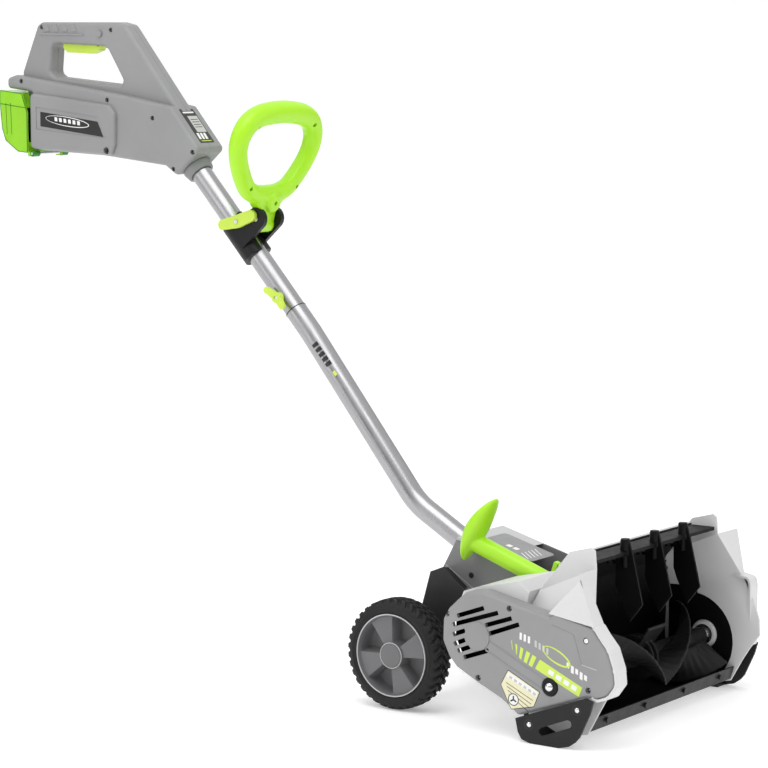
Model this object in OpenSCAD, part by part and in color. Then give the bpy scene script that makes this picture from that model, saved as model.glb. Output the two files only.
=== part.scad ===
// Cordless snow shovel: powered auger head on wheels, bent two-piece tube,
// tilting D-shaped front handle and rear grip with battery.
// X runs across the machine, +Y to the rear (towards the operator), +Z up, floor at z = 0.
// Positions are laid out from the auger axis, then shifted so that the origin is at the middle
// of the floor rectangle that the whole machine covers.

/* [Auger head] */
// Width that the auger clears, between the side walls
clear_w = 400; // [380:1:420]
// Radius of the auger flights
rotor_r = 60; // [52:1:60]
// Height of the auger axis above the floor
auger_z = 81; // [81:0.5:84]
// Wall thickness of the moulded hood
hood_t = 3; // [2.5:0.5:3]
// Half width of the hood between its upper ears
ear_x = 172; // [168:1:174]
// Depth of each side cover outside its side wall
cover_w = 27; // [25:1:28]

/* [Drive] */
// Outer radius of the pulley on the motor
motor_pulley_r = 10; // [10:1:11]
// Outer radius of the pulley on the auger
auger_pulley_r = 22; // [19:1:23]
// Radius of the motor can
motor_r = 31; // [26:1:32]

/* [Wheels] */
// Radius of each wheel
wheel_r = 80; // [76:1:80]
// Width of each wheel
wheel_w = 45; // [38:1:46]
// Distance from the machine's middle to a wheel's outer face
wheel_face_x = 190; // [188:1:194]

/* [Tube] */
// Outer diameter of the lower tube
tube_d = 34; // [33:0.5:34]
// Wall thickness of both tubes
tube_t = 1.6; // [1.4:0.1:1.8]

/* [Handles] */
// Width of the front handle's ring, over the middle of its grip
ring_w = 203; // [180:1:205]
// Height of the front handle's ring, over the middle of its grip
ring_h = 137; // [120:1:138]
// Diameter of the front handle's grip
ring_d = 28; // [24:1:29]
// Half width of the rear grip's battery housing
grip_x = 40; // [38:1:40]
// Wall thickness of the grip and cover mouldings
shell_t = 2.6; // [2.2:0.2:2.8]

/* [Hidden] */
$fn = 48;

run_gap = 0.05;
reach_front = 105;
reach_rear = 1165;
origin_y = (reach_rear - reach_front) / 2;

wall_x = clear_w / 2 + hood_t;
scroll_r = 71;
cover_face_x = wall_x + cover_w;
skid_x = 235;
shaft_r = 7;
bearing_r = 15;
motor_y = 117.5;
motor_z = 136.5;
belt_x = -217;
axle_y = 292;
axle_r = 5;
vane_y = -28;
vane_arm = 24;
vane_xs = [-81, 0, 81];
lever_x = -80;
lever_y = 211;
lever_z = 232;
lever_tilt = atan2(39, 109);

// Tube centre line in the middle plane: housing, lower bend, upper bend and grip
tube_pts = [[262, 200.8], [376.8, 267.2], [572, 510], [800, 763.6]];
upper_tilt = atan2(tube_pts[3][1] - tube_pts[2][1], tube_pts[3][0] - tube_pts[2][0]);
seam_s = 44;
upper_r = tube_d / 2 - 0.5;
spigot_r = upper_r - tube_t - run_gap;
knob_s = 70;
collar_s0 = 151;
collar_s1 = 216;
pivot_s = 184.6;
pivot_n = 49;
cam_s = 202;
cam_n = 22.5;
ring_tilt = 14.4;

wheel_side = [-1, 1];

// ---------- helpers ----------

function arc(cy, cz, r, a0, a1, n) =
    [for (i = [0:n]) let (a = a0 + (a1 - a0) * i / n) [cy + r * cos(a), cz + r * sin(a)]];
function flip(p) = [for (i = [len(p) - 1:-1:0]) p[i]];

// Everything is drawn about the auger axis and moved to the origin by this module.
module placed() translate([0, -origin_y, 0]) children();

// A Y-Z outline extruded from x0 to x1.
module yz(x0, x1) translate([x0, 0, 0]) rotate([90, 0, 90]) linear_extrude(x1 - x0) children();

// A cylinder along X.
module xrod(x0, x1, y, z, r) translate([x0, y, z]) rotate([0, 90, 0]) cylinder(r = r, h = x1 - x0);

// A Y-Z slot with round ends from p to q.
module slot(x0, x1, p, q, w) {
    ang = atan2(q[1] - p[1], q[0] - p[0]);
    translate([x0, p[0], p[1]]) rotate([ang, 0, 0]) translate([0, 0, -w / 2])
        cube([x1 - x0, norm(q - p), w]);
    for (e = [p, q]) xrod(x0, x1, e[0], e[1], w / 2);
}

// Places children on the upper tube's line: local Z along the tube, local -Y up and forward.
module on_upper(s = 0) {
    translate([0, tube_pts[2][0], tube_pts[2][1]]) rotate([-(90 - upper_tilt), 0, 0])
        translate([0, 0, s]) children();
}

// Places children in the front handle's plane: local X across, local Y up the ring.
module on_ring() {
    translate([0, 639.5, 779]) rotate([90 + ring_tilt, 0, 0]) children();
}

// Closed sweep of a section (points [across, up]) along a flat closed path.
module ring_sweep(path, section) {
    n = len(path);
    m = len(section);
    pts = [for (i = [0:n - 1])
        let (t = path[(i + 1) % n] - path[(i + n - 1) % n], u = [t[1], -t[0]] / norm(t))
        for (s = section) [path[i][0] + u[0] * s[0], path[i][1] + u[1] * s[0], s[1]]];
    faces = [for (i = [0:n - 1]) for (j = [0:m - 1])
        let (i2 = (i + 1) % n, j2 = (j + 1) % m)
        [i * m + j, i * m + j2, i2 * m + j2, i2 * m + j]];
    polyhedron(pts, faces, convexity = 6);
}

// A thin skin: outer points, triangles, and its boundary loop, thickened towards the middle.
module skin(pts, tris, loop, t) {
    n = len(pts);
    inner = [for (p = pts) [p[0] - t, p[1], p[2]]];
    m = len(loop);
    sides = [for (i = [0:m - 1]) let (a = loop[i], b = loop[(i + 1) % m]) [b, a, a + n, b + n]];
    backs = [for (f = tris) [f[2] + n, f[1] + n, f[0] + n]];
    polyhedron(concat(pts, inner), concat(tris, sides, backs), convexity = 6);
}

// ---------- hood and side walls ----------

function scroll_line(t) = concat(
    arc(0, auger_z, scroll_r - t, -126, 0, 18),
    [[69 - t, 122], [62 - t, 163], [53 - t, 199 - 0.4 * t], [10 - 0.8 * t, 252 - 0.65 * t]]);

// Curved sheet behind the auger, narrowing upwards with the side walls.
module scroll_sheet(t0, t1, inset) {
    levels = [-10, 148, 162, 178, 190, 300];
    halves = [wall_x - 3.4, wall_x - 9, wall_x - 19, ear_x + 2, ear_x - 3.2];
    for (i = [0:4]) yz(-halves[i] + inset, halves[i] - inset) intersection() {
        polygon(concat(scroll_line(t0), flip(scroll_line(t1))));
        translate([-100, levels[i]]) square([300, levels[i + 1] - levels[i]]);
    }
}

// Side view of the deck behind the scroll; its front edge moves back by g.
module deck_outline(g) {
    polygon([[74 + g, 90], [69.5 + g, 122], [62.5 + g, 163], [54 + g, 200], [69, 214], [95, 208], [132, 200], [158, 191],
             [166, 172], [157, 112], [118, 88]]);
}

module hood() {
    color("whitesmoke") placed() difference() {
        union() {
            scroll_sheet(0, hood_t, 0);
            for (s = wheel_side) {
                yz(s > 0 ? 108 : -wall_x + 3.4, s > 0 ? wall_x - 3.4 : -108) difference() {
                    deck_outline(1.5);
                    polygon([[79, 93], [74, 130], [67, 166], [60.5, 199], [71, 210], [94, 205], [130, 197],
                             [155, 188], [162, 172], [153.5, 115], [117, 91.5]]);
                }
                yz(s > 0 ? 105 : -108, s > 0 ? 108 : -105) deck_outline(1.5);
                // web that joins the deck to the scroll
                yz(s > 0 ? 105 : -167, s > 0 ? 167 : -105)
                    polygon([[68, 122], [61.5, 160], [53, 197], [57, 200], [65.5, 163], [72.5, 122]]);
            }
            // tunnel over the motor between the deck and the rear housing
            xrod(-106, -60.3, motor_y, motor_z, motor_r + 4.4);
        }
        // passage for the vane link's tongue
        translate([lever_x - 17, -5, 233.5]) cube([34, 60, 10.5]);
        // motor passes through both inner deck walls
        xrod(-112, 112, motor_y, motor_z, motor_r + 0.4);
    }
}

// Side wall: flat round the auger, flared to the front lip, with an upper ear.
module cheek() {
    w = wall_x;
    pts = [[w, -44, 16], [w + 1, -63, 50], [w + 3, -74, 68], [w + 5, -88, 87], [w + 7, -86, 110],
           [w + 9, -75, 138], [w + 11, -59, 166], [w + 19, -40, 239],
           [ear_x, -36, 238], [ear_x, -34, 262], [ear_x, -28, 266], [ear_x, 6, 257], [ear_x, 53, 199],
           [w - 14, 20, 186], [w, 66, 150], [w, 71, auger_z], [w, 50, 31], [w, 0, 10], [w, -30, 13],
           [w, 0, 95], [w, -47, 92], [w, -46, 125], [w, -26, 152]];
    tris = [[8, 9, 10], [8, 10, 11], [8, 11, 12], [8, 12, 13], [6, 7, 8], [6, 8, 13], [6, 13, 22],
            [22, 13, 14], [5, 6, 22], [5, 22, 21], [4, 5, 21], [3, 4, 21], [3, 21, 20], [2, 3, 20],
            [1, 2, 20], [0, 1, 20], [12, 14, 13], [19, 0, 20], [19, 20, 21], [19, 21, 22], [19, 22, 14],
            [19, 14, 15], [19, 15, 16], [19, 16, 17], [19, 17, 18], [19, 18, 0]];
    loop = [0, 1, 2, 3, 4, 5, 6, 7, 8, 9, 10, 11, 12, 14, 15, 16, 17, 18];
    difference() {
        union() {
            skin(pts, tris, loop, hood_t);
            yz(w - hood_t, w) difference() {
                deck_outline(-3);
                translate([motor_y, motor_z]) circle(r = motor_pulley_r + 6);
            }
            xrod(w - hood_t - 5, w, 0, auger_z, bearing_r + 4);
        }
        xrod(w - 9, w + 1, 0, auger_z, bearing_r);
    }
}

module cheek_left() color("whitesmoke") placed() cheek();
module cheek_right() color("whitesmoke") placed() mirror([1, 0, 0]) cheek();

module scroll_liner() {
    color([0.09, 0.09, 0.1]) placed() {
        difference() {
            union() {
                scroll_sheet(hood_t + 0.2, hood_t + 1.8, 0.4);
                // shelf that carries the deflector vanes
                translate([-165, -33, 243.5]) cube([330, 35, 5]);
            }
            translate([lever_x - 17, -5, 233.5]) cube([34, 60, 9.9]);
            for (x = vane_xs) translate([x, vane_y, 240]) cylinder(r = 2, h = 12);
        }
    }
}

scraper_xs = [-160, -55, 55, 160];

module scraper_bar() {
    color([0.12, 0.12, 0.13]) placed() difference() {
        yz(-wall_x + 3.3, wall_x - 3.3) polygon([[-41, 18], [-44, 18.5], [-50.5, 38], [-47, 38]]);
        for (x = scraper_xs) translate([x, -60, 28]) rotate([-90, 0, 0]) cylinder(r = 2.6, h = 30);
    }
}

// ---------- side covers and skids ----------

cover_outline = [[176, 124], [175, 155], [166, 170], [150, 185], [137, 196], [112, 199], [79, 192],
                 [2, 176], [-4, 183], [-70, 171], [-78, 160], [-93, 143], [-103, 116], [-105, 94],
                 [-92, 76], [-74, 69], [-57, 73], [52, 34], [64, 44], [80, 54], [118, 71], [153, 89],
                 [165, 102]];

// The same outline moved in by a wall, for the hollow inside.
module cover_shell(face_x, depth) {
    difference() {
        yz(face_x, face_x + depth) polygon(cover_outline);
        yz(face_x + shell_t, face_x + depth + 1) offset(delta = -shell_t) polygon(cover_outline);
        // room for the flared side wall
        yz(face_x + 13, face_x + depth + 1) polygon([[-110, 60], [-110, 195], [-25, 195], [-25, 160], [-60, 150], [-66, 110],
                                                          [-66, 78], [-48, 78], [-48, 60]]);
    }
}

// Screws of the side covers: Y, Z and the |X| at which each one ends against the side wall
cover_holes = [[168, 162, 203.3], [66, 181, 203.3], [116, 78.5, 203.3], [-56, 151, 216.5], [-60, 84, 210.5]];
vent_slots = [[[151, 161], [107, 177]], [[158, 148], [84, 173]], [[105, 153], [62, 168]],
              [[99, 142], [50, 161]], [[158, 134], [138, 142]], [[156, 121], [138, 129]],
              [[150, 112], [130, 120]], [[140, 104], [99, 119]]];

module belt_cover() {
    color([0.6, 0.6, 0.61]) placed() difference() {
        union() {
            cover_shell(-cover_face_x, cover_w - 0.3);
            xrod(-cover_face_x - 1.5, -cover_face_x + 1, motor_y, motor_z, 20);
            for (h = cover_holes) xrod(-cover_face_x + 1, -h[2], h[0], h[1], 4.6);
        }
        for (h = cover_holes) xrod(-cover_face_x - 2, -wall_x, h[0], h[1], 2.1);
        for (h = cover_holes) xrod(-cover_face_x - 2, -cover_face_x + 1.4, h[0], h[1], 3.9);
        for (v = vent_slots) slot(-cover_face_x - 2, -cover_face_x + 5, v[0], v[1], 6);
        xrod(-cover_face_x - 2, -cover_face_x + 5, 0, auger_z, 13);
    }
}

module far_cover() {
    color("gainsboro") placed() difference() {
        union() {
            mirror([1, 0, 0]) cover_shell(-cover_face_x, cover_w - 0.3);
            for (h = cover_holes) xrod(h[2], cover_face_x - 1, h[0], h[1], 4.6);
            for (y = [-60:24:130]) yz(cover_face_x, cover_face_x + 1.5) translate([y, 96]) square([5, 66]);
        }
        for (h = cover_holes) xrod(wall_x, cover_face_x + 2, h[0], h[1], 2.1);
        for (h = cover_holes) xrod(cover_face_x - 1.4, cover_face_x + 2, h[0], h[1], 3.9);
        xrod(cover_face_x - 5, cover_face_x + 4, 0, auger_z, 13);
    }
}

module cover_screws() {
    color("silver") placed() for (s = wheel_side, h = cover_holes) mirror([s > 0 ? 1 : 0, 0, 0]) {
        xrod(-cover_face_x - 0.4, -cover_face_x + 1.4, h[0], h[1], 3.6);
        xrod(-cover_face_x + 1.4, -h[2] - 0.2, h[0], h[1], 1.9);
    }
}

skid_holes = [[-46, 56], [30, 26]];

module skid() {
    difference() {
        union() {
            yz(-skid_x, -skid_x + 3.5)
                polygon([[52, 32], [-59, 74], [-71, 70], [-66, 53], [-50, 19], [-43, 11], [-33, 4], [-17, 0],
                         [28, 0], [42, 4], [48, 14]]);
            // turned-in sole that glides on the ground
            translate([-skid_x, -17, 0]) cube([24, 45, 4]);
            for (h = skid_holes) xrod(-skid_x + 3, -cover_face_x - 0.1, h[0], h[1], 7);
        }
        for (h = skid_holes) xrod(-skid_x - 1, -cover_face_x + 1, h[0], h[1], 3.1);
        slot(-skid_x - 1, -skid_x + 5, [9, 19], [-32, 35], 11);
    }
}

module skid_right() color([0.1, 0.1, 0.11]) placed() skid();
module skid_left() color([0.1, 0.1, 0.11]) placed() mirror([1, 0, 0]) skid();

module skid_bolts() {
    color("silver") placed() for (s = wheel_side, h = skid_holes) mirror([s > 0 ? 1 : 0, 0, 0]) {
        xrod(-skid_x + 0.2, -cover_face_x - 0.2, h[0], h[1], 3);
        difference() {
            xrod(-skid_x + 3.7 - 4.6, -skid_x - 0.1, h[0], h[1], 6.2);
            xrod(-skid_x - 2, -skid_x - 0.5, h[0], h[1], 2);
        }
    }
}

// ---------- auger and drive ----------

rotor_turns = 0.5;
rotor_steps = 20;

// One helical flight along X, swept as a thin ribbon from the hub to the rim.
module flight(phase, hand) {
    l = clear_w / 2 - 14;
    pts = [for (i = [0:rotor_steps]) let (a = phase + hand * 360 * rotor_turns * i / rotor_steps,
                                         x = -l + l * i / rotor_steps)
        for (c = [[9, -1.8], [rotor_r, -1.8], [rotor_r, 1.8], [9, 1.8]])
            [x + c[1] + 2, c[0] * cos(a), c[0] * sin(a)]];
    quads = [for (i = [0:rotor_steps - 1]) for (j = [0:3]) let (k = (j + 1) % 4, a = i * 4, b = a + 4)
        each [[a + j, b + k, b + j], [a + j, a + k, b + k]]];
    ends = [[3, 2, 1, 0], [for (j = [0:3]) rotor_steps * 4 + j]];
    polyhedron(pts, concat(quads, ends), convexity = 8);
}

module auger_rotor() {
    color([0.13, 0.13, 0.14]) placed() difference() {
        union() {
            translate([0, 0, auger_z]) for (p = [35, 215]) {
                flight(p, 1);
                mirror([1, 0, 0]) flight(p, 1);
            }
            xrod(-clear_w / 2 + 12, clear_w / 2 - 12, 0, auger_z, 12);
            for (s = wheel_side) xrod(s * 6 - 2, s * 6 + 2, 0, auger_z, 34);
            translate([-26, 0, auger_z]) rotate([125, 0, 0]) translate([0, -rotor_r, -2]) cube([52, 2 * rotor_r, 4]);
        }
        xrod(-clear_w, clear_w, 0, auger_z, shaft_r);
    }
}

module auger_shaft() color("silver") placed() {
    xrod(-cover_face_x + 2, cover_face_x - 8, 0, auger_z, shaft_r);
}

module bearing(x0) {
    difference() {
        xrod(x0, x0 + 8, 0, auger_z, bearing_r);
        xrod(x0 - 1, x0 + 9, 0, auger_z, shaft_r + run_gap);
    }
}

module bearings() color("dimgray") placed() {
    bearing(-wall_x);
    bearing(wall_x - 8);
}

module pulley(r, w, bore) {
    rotate_extrude() difference() {
        polygon([[bore, 0], [r, 0], [r, 1.6], [r - 3.2, 2.6], [r - 3.2, w - 2.6], [r, w - 1.6], [r, w], [bore, w]]);
    }
}

module auger_pulley() color([0.35, 0.35, 0.36]) placed() {
    translate([belt_x - 7, 0, auger_z]) rotate([0, 90, 0]) pulley(auger_pulley_r, 14, shaft_r);
}

module axle_nut() color("gainsboro") placed() {
    xrod(-cover_face_x - 1, -cover_face_x + 2, 0, auger_z, 9);
    xrod(-cover_face_x - 3, -cover_face_x - 1, 0, auger_z, 12);
    translate([-cover_face_x + 2.1, 0, auger_z]) intersection() {
        sphere(r = 8);
        translate([-9, -10, -10]) cube([4, 20, 20]);
    }
}

// Open loop of belt: two arcs and two straight runs between the pulleys.
module drive_belt() {
    d = norm([motor_y, motor_z - auger_z]);
    lean = atan2(motor_z - auger_z, motor_y);
    rim = 2.9;
    ra = auger_pulley_r - rim;
    rm = motor_pulley_r - rim;
    k = asin((ra - rm) / d);
    t = 2.2;
    line = function (g) concat(arc(0, auger_z, ra + g, lean + 90 - k, lean + 270 + k, 30),
                               arc(motor_y, motor_z, rm + g, lean - 90 + k, lean + 90 - k, 14));
    color([0.08, 0.08, 0.08]) placed() yz(belt_x - 4, belt_x + 4) difference() {
        polygon(line(t));
        polygon(line(0.1));
    }
}

module motor_can() color([0.45, 0.45, 0.47]) placed() difference() {
    union() {
        xrod(-178, 20, motor_y, motor_z, motor_r);
        xrod(-184, -178, motor_y, motor_z, 14);
    }
    xrod(-168, 14, motor_y, motor_z, motor_r - 3);
    xrod(-186, -160, motor_y, motor_z, 5 + run_gap);
}

module motor_rotor() color("silver") placed() {
    xrod(-223, 8, motor_y, motor_z, 5);
    xrod(-150, -10, motor_y, motor_z, motor_r - 7);
    translate([belt_x - 7, motor_y, motor_z]) rotate([0, 90, 0]) pulley(motor_pulley_r, 14, 4.5);
}

module motor_bracket() color("dimgray") placed() difference() {
    union() {
        xrod(-wall_x + 3.5, -178.2, motor_y, motor_z, motor_r + 3);
        xrod(-184, -172, motor_y, motor_z, motor_r + 3);
    }
    xrod(-wall_x - 1, -170, motor_y, motor_z, 16);
    xrod(-178.2, -170, motor_y, motor_z, motor_r + 0.1);
}

// ---------- rear housing, axle and wheels ----------

module housing_outline() {
    polygon([[73, 118], [73, 196], [128, 199], [150, 205], [264, 236], [290, 188], [251, 156], [170, 118]]);
}

module housing_body() color([0.56, 0.56, 0.57]) placed() difference() {
    yz(-60, 60) intersection() {
        housing_outline();
        polygon([[60, 100], [60, 190], [260, 229.5], [300, 238], [300, 100]]);
    }
    yz(-57, 57) polygon([[80, 122], [80, 200], [258, 236], [262, 228], [284, 188], [249, 160], [169, 122]]);
    translate([0, 262, 200.8]) rotate([-60, 0, 0]) cylinder(r = tube_d / 2 + 0.05, h = 90, center = true);
    xrod(-70, 70, motor_y, motor_z, motor_r + 0.4);
}

module housing_lid() color("gainsboro") placed() difference() {
    yz(-60, 60) intersection() {
        housing_outline();
        polygon([[60, 190.3], [60, 300], [300, 300], [300, 238.3], [260, 229.8]]);
    }
    yz(-57, 57) polygon([[79, 180], [79, 194], [128, 197], [150, 202], [257, 231], [263, 220]]);
}

module body_screws() color([0.2, 0.2, 0.2]) placed() {
    for (s = wheel_side, y = [120, 240]) xrod(s > 0 ? 60.1 : -61.4, s > 0 ? 61.4 : -60.1, y, 182, 4);
    for (x = scraper_xs) translate([x, -51.2, 28]) rotate([-90, 0, 0]) {
        cylinder(r = 4.5, h = 2);
        cylinder(r = 2.5, h = 7);
    }
}

module wheel_bracket(x0) {
    yz(x0, x0 + 5) difference() {
        polygon([[222, 166], [262, 198], [284, 189], [301, 130], [307, 82], [292, 66], [276, 80], [258, 120]]);
        translate([axle_y, wheel_r]) circle(r = axle_r);
    }
    yz(x0 > 0 ? 60.2 : x0, x0 > 0 ? x0 + 5 : -60.2) polygon([[251, 160], [258, 165], [284, 184], [280, 190], [247, 164]]);
}

module wheel_bracket_right() color([0.1, 0.1, 0.11]) placed() wheel_bracket(-101);
module wheel_bracket_left() color([0.1, 0.1, 0.11]) placed() mirror([1, 0, 0]) wheel_bracket(-101);

module axle() color("silver") placed() {
    xrod(-wheel_face_x + 5, wheel_face_x - 5, axle_y, wheel_r, axle_r);
    for (s = wheel_side) {
        xrod(s > 0 ? 106.2 : -109.2, s > 0 ? 109.2 : -106.2, axle_y, wheel_r, 9);
        xrod(s > 0 ? wheel_face_x - 8 : 8 - wheel_face_x - 2, s > 0 ? wheel_face_x - 6 : 8 - wheel_face_x,
             axle_y, wheel_r, 8);
    }
}

module tyre() translate([-wheel_face_x, axle_y, wheel_r]) rotate([0, 90, 0]) rotate_extrude($fn = 96) {
    w = wheel_w;
    r = wheel_r;
    polygon([[60, 3], [68, 0.5], [75, 3], [r - 1, 7], [r, 14], [r, w - 14], [r - 1, w - 7], [75, w - 3],
             [68, w - 0.5], [60, w - 3]]);
}

module tyre_right() color([0.12, 0.12, 0.12]) placed() tyre();
module tyre_left() color([0.12, 0.12, 0.12]) placed() mirror([1, 0, 0]) tyre();

module rim() translate([-wheel_face_x, axle_y, wheel_r]) rotate([0, 90, 0]) difference() {
    union() {
        rotate_extrude($fn = 96) polygon([[54, 1.5], [59.8, 1.5], [59.8, wheel_w - 3], [54, wheel_w - 3]]);
        translate([0, 0, 9.2]) cylinder(r = 14, h = wheel_w + 24 - 9.2);
        translate([0, 0, 12]) cylinder(r = 55, h = 3);
        for (a = [-20:90:250]) rotate(a) translate([0, 0, 3.5]) linear_extrude(9)
            polygon([[8, 0], [56 * cos(19.5), -56 * sin(19.5)], [57, 0], [56 * cos(19.5), 56 * sin(19.5)]]);
    }
    translate([0, 0, -1]) cylinder(r = axle_r + 1.6, h = 10.2);
    translate([0, 0, 3]) cylinder(r = 10, h = 6.2);
    translate([0, 0, -1]) cylinder(r = axle_r + run_gap, h = wheel_w + 40);
}

module rim_right() color([0.5, 0.5, 0.51]) placed() {
    rim();
    hub_cap();
}

module hub_cap() xrod(-wheel_face_x + 1, -wheel_face_x + 3.6, axle_y, wheel_r, 18);

module rim_left() color([0.5, 0.5, 0.51]) placed() mirror([1, 0, 0]) {
    rim();
    hub_cap();
}

// ---------- deflector vanes ----------

module vane(x) translate([x, 0, 0]) difference() {
    union() {
        yz(-1.5, 1.5) polygon([[-35, 262], [-40, 246], [-57, 176], [-37, 150], [-20, 184], [-14, 200],
                               [-14, 229.5], [vane_y + vane_arm + 5, 229.5], [vane_y + vane_arm + 5, 234.5],
                               [-14, 234.5], [-14, 242.6], [-34.6, 242.6], [-34.6, 249.4], [-21, 249.4],
                               [-21, 262]]);
        translate([0, vane_y, 249.4]) cylinder(r = 7, h = 12.6);
        translate([0, vane_y, 262]) intersection() {
            sphere(r = 7);
            translate([-8, -8, 0]) cube([16, 16, 4]);
        }
        translate([0, vane_y, 226]) cylinder(r = 5, h = 16.6);
        translate([0, vane_y + vane_arm, 229.5]) cylinder(r = 2, h = 11.5);
        translate([0, vane_y + vane_arm, 229.5]) cylinder(r = 5, h = 5);
    }
    translate([0, vane_y, 225]) cylinder(r = 2 + run_gap, h = 34);
}

module vane_right() color([0.1, 0.1, 0.11]) placed() vane(vane_xs[0]);
module vane_middle() color([0.1, 0.1, 0.11]) placed() vane(vane_xs[1]);
module vane_left() color([0.1, 0.1, 0.11]) placed() vane(vane_xs[2]);

module vane_pins() color("silver") placed() for (x = vane_xs)
    translate([x, vane_y, 228]) cylinder(r = 2, h = 30);

link_z = 236;
pin_y = vane_y + vane_arm;

module vane_link() color("lightgray") placed() difference() {
    union() {
        translate([-104, pin_y - 7, link_z]) cube([208, 11.5, 5]);
        yz(lever_x - 5, lever_x + 5)
            polygon([[pin_y, link_z], [pin_y, 241], [27, 241], [60, 211], [58, 196], [55.4, 198], [55.4, 208.5],
                     [25, link_z]]);
    }
    for (x = vane_xs) {
        translate([x, pin_y - 2.4, link_z - 1]) cylinder(r = 2.4, h = 7);
        translate([x, pin_y + 0.2, link_z - 1]) cylinder(r = 2.4, h = 7);
        translate([x - 2.4, pin_y - 2.4, link_z - 1]) cube([4.8, 2.6, 7]);
    }
    lever_frame(155) translate([0, 0, crank_l - 0.9]) cube([6.2, 40, 7.6], center = true);
}

crank_l = 30;

// Lever frame: local Y runs down the stem towards the front, local Z is square to it.
module lever_frame(s = 0) {
    translate([lever_x, lever_y, lever_z]) rotate([lever_tilt, 0, 0]) rotate([0, 0, 180])
        translate([0, s, 0]) children();
}

stem_l = 148;

module chute_lever() color([0.68, 0.92, 0.2]) placed() lever_frame() {
    rotate([-90, 0, 0]) cylinder(r = 14, h = 122);
    translate([0, 120, 0]) rotate([-90, 0, 0]) cylinder(r = 8, h = stem_l - 120);
    translate([-5, 122.4, 0]) cube([10, 6, crank_l + 4]);
    translate([0, 122.4, crank_l]) rotate([-90, 0, 0]) cylinder(r = 2.5, h = 33.6);
    // cross grip
    hull() {
        translate([0, 0, -24]) sphere(r = 7, $fn = 32);
        translate([0, 2, 2]) sphere(r = 15, $fn = 32);
        translate([0, 1, 40]) sphere(r = 11, $fn = 32);
        translate([0, -4, 66]) sphere(r = 6.5, $fn = 32);
    }
}

module lever_bush() color([0.15, 0.15, 0.16]) placed() difference() {
    lever_frame(129.5) rotate([-90, 0, 0]) cylinder(r = 13, h = 30);
    lever_frame(120) rotate([-90, 0, 0]) cylinder(r = 8 + run_gap, h = 50);
}

// ---------- tubes ----------

function head(a, b) = atan2(b[1] - a[1], b[0] - a[0]);

// Points of an arc of radius br that rounds the corner at b.
function bend(a, b, c, br, n) =
    let (h0 = head(a, b), h1 = head(b, c), side = h1 > h0 ? 1 : -1, cut = br * tan(abs(h1 - h0) / 2),
         centre = b - cut * [cos(h0), sin(h0)] + side * br * [-sin(h0), cos(h0)])
    [for (i = [0:n]) let (h = h0 + (h1 - h0) * i / n) centre + side * br * [sin(h), -cos(h)]];

// Rings of points round a Y-Z path.
function rings(path, r, sides) = let (n = len(path)) [for (i = [0:n - 1])
    let (t = path[min(i + 1, n - 1)] - path[max(i - 1, 0)], u = [-t[1], t[0]] / norm(t))
    for (j = [0:sides - 1]) let (c = r * cos(360 * j / sides), k = r * sin(360 * j / sides))
        [k, path[i][0] + c * u[0], path[i][1] + c * u[1]]];

// Wall triangles between rings that start at point number o, facing outwards or inwards.
function walls(n, sides, o, out) = [for (i = [0:n - 2]) for (j = [0:sides - 1])
    let (k = (j + 1) % sides, a = o + i * sides, b = a + sides)
    each out ? [[a + j, b + k, a + k], [a + j, b + j, b + k]] : [[a + j, a + k, b + k], [a + j, b + k, b + j]]];

// Round bar swept through Y-Z points as one closed surface.
module sweep_yz(path, r, sides) {
    n = len(path);
    caps = [[for (j = [0:sides - 1]) j], [for (j = [sides - 1:-1:0]) (n - 1) * sides + j]];
    polyhedron(rings(path, r, sides), concat(walls(n, sides, 0, true), caps), convexity = 4);
}

// Round pipe swept through Y-Z points as one closed surface.
module pipe_yz(path, r, ri, sides) {
    n = len(path);
    o = n * sides;
    e = (n - 1) * sides;
    ends = [for (j = [0:sides - 1]) let (k = (j + 1) % sides)
        each [[j, k, o + k], [j, o + k, o + j], [e + j, o + e + k, e + k], [e + j, o + e + j, o + e + k]]];
    polyhedron(concat(rings(path, r, sides), rings(path, ri, sides)),
               concat(walls(n, sides, 0, true), walls(n, sides, o, false), ends), convexity = 6);
}

upper_dir = [cos(upper_tilt), sin(upper_tilt)];
seam_pt = tube_pts[2] + (seam_s - 1) * upper_dir;
low_path = concat([tube_pts[0]], bend(tube_pts[0], tube_pts[1], tube_pts[2], 110, 8),
                  bend(tube_pts[1], tube_pts[2], seam_pt, 300, 3), [seam_pt]);

module lower_tube() color("silver") placed() pipe_yz(low_path, tube_d / 2, spigot_r + run_gap, 40);

// Sleeve inside both tubes at their joint.
module tube_spigot() color("silver") placed() difference() {
    on_upper(12) cylinder(r = spigot_r, h = 92);
    on_upper(10) cylinder(r = spigot_r - tube_t, h = 96);
    on_upper(knob_s) rotate([0, 90, 0]) cylinder(r = 3.1, h = 60, center = true);
}

upper_l = norm(tube_pts[3] - tube_pts[2]) + 4;

module upper_tube() color("silver") placed() difference() {
    on_upper(seam_s + 0.4) cylinder(r = upper_r, h = upper_l - seam_s);
    on_upper(seam_s - 1) cylinder(r = upper_r - tube_t, h = upper_l);
    on_upper(knob_s) rotate([0, 90, 0]) cylinder(r = 3.1, h = 60, center = true);
}

module joint_bolt() color("silver") placed() on_upper(knob_s) {
    translate([-27, 0, 0]) rotate([0, 90, 0]) cylinder(r = 3, h = 50);
    translate([upper_r + 0.4, 0, 0]) rotate([0, 90, 0]) cylinder(r = 6, h = 4.5, $fn = 6);
}

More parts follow.
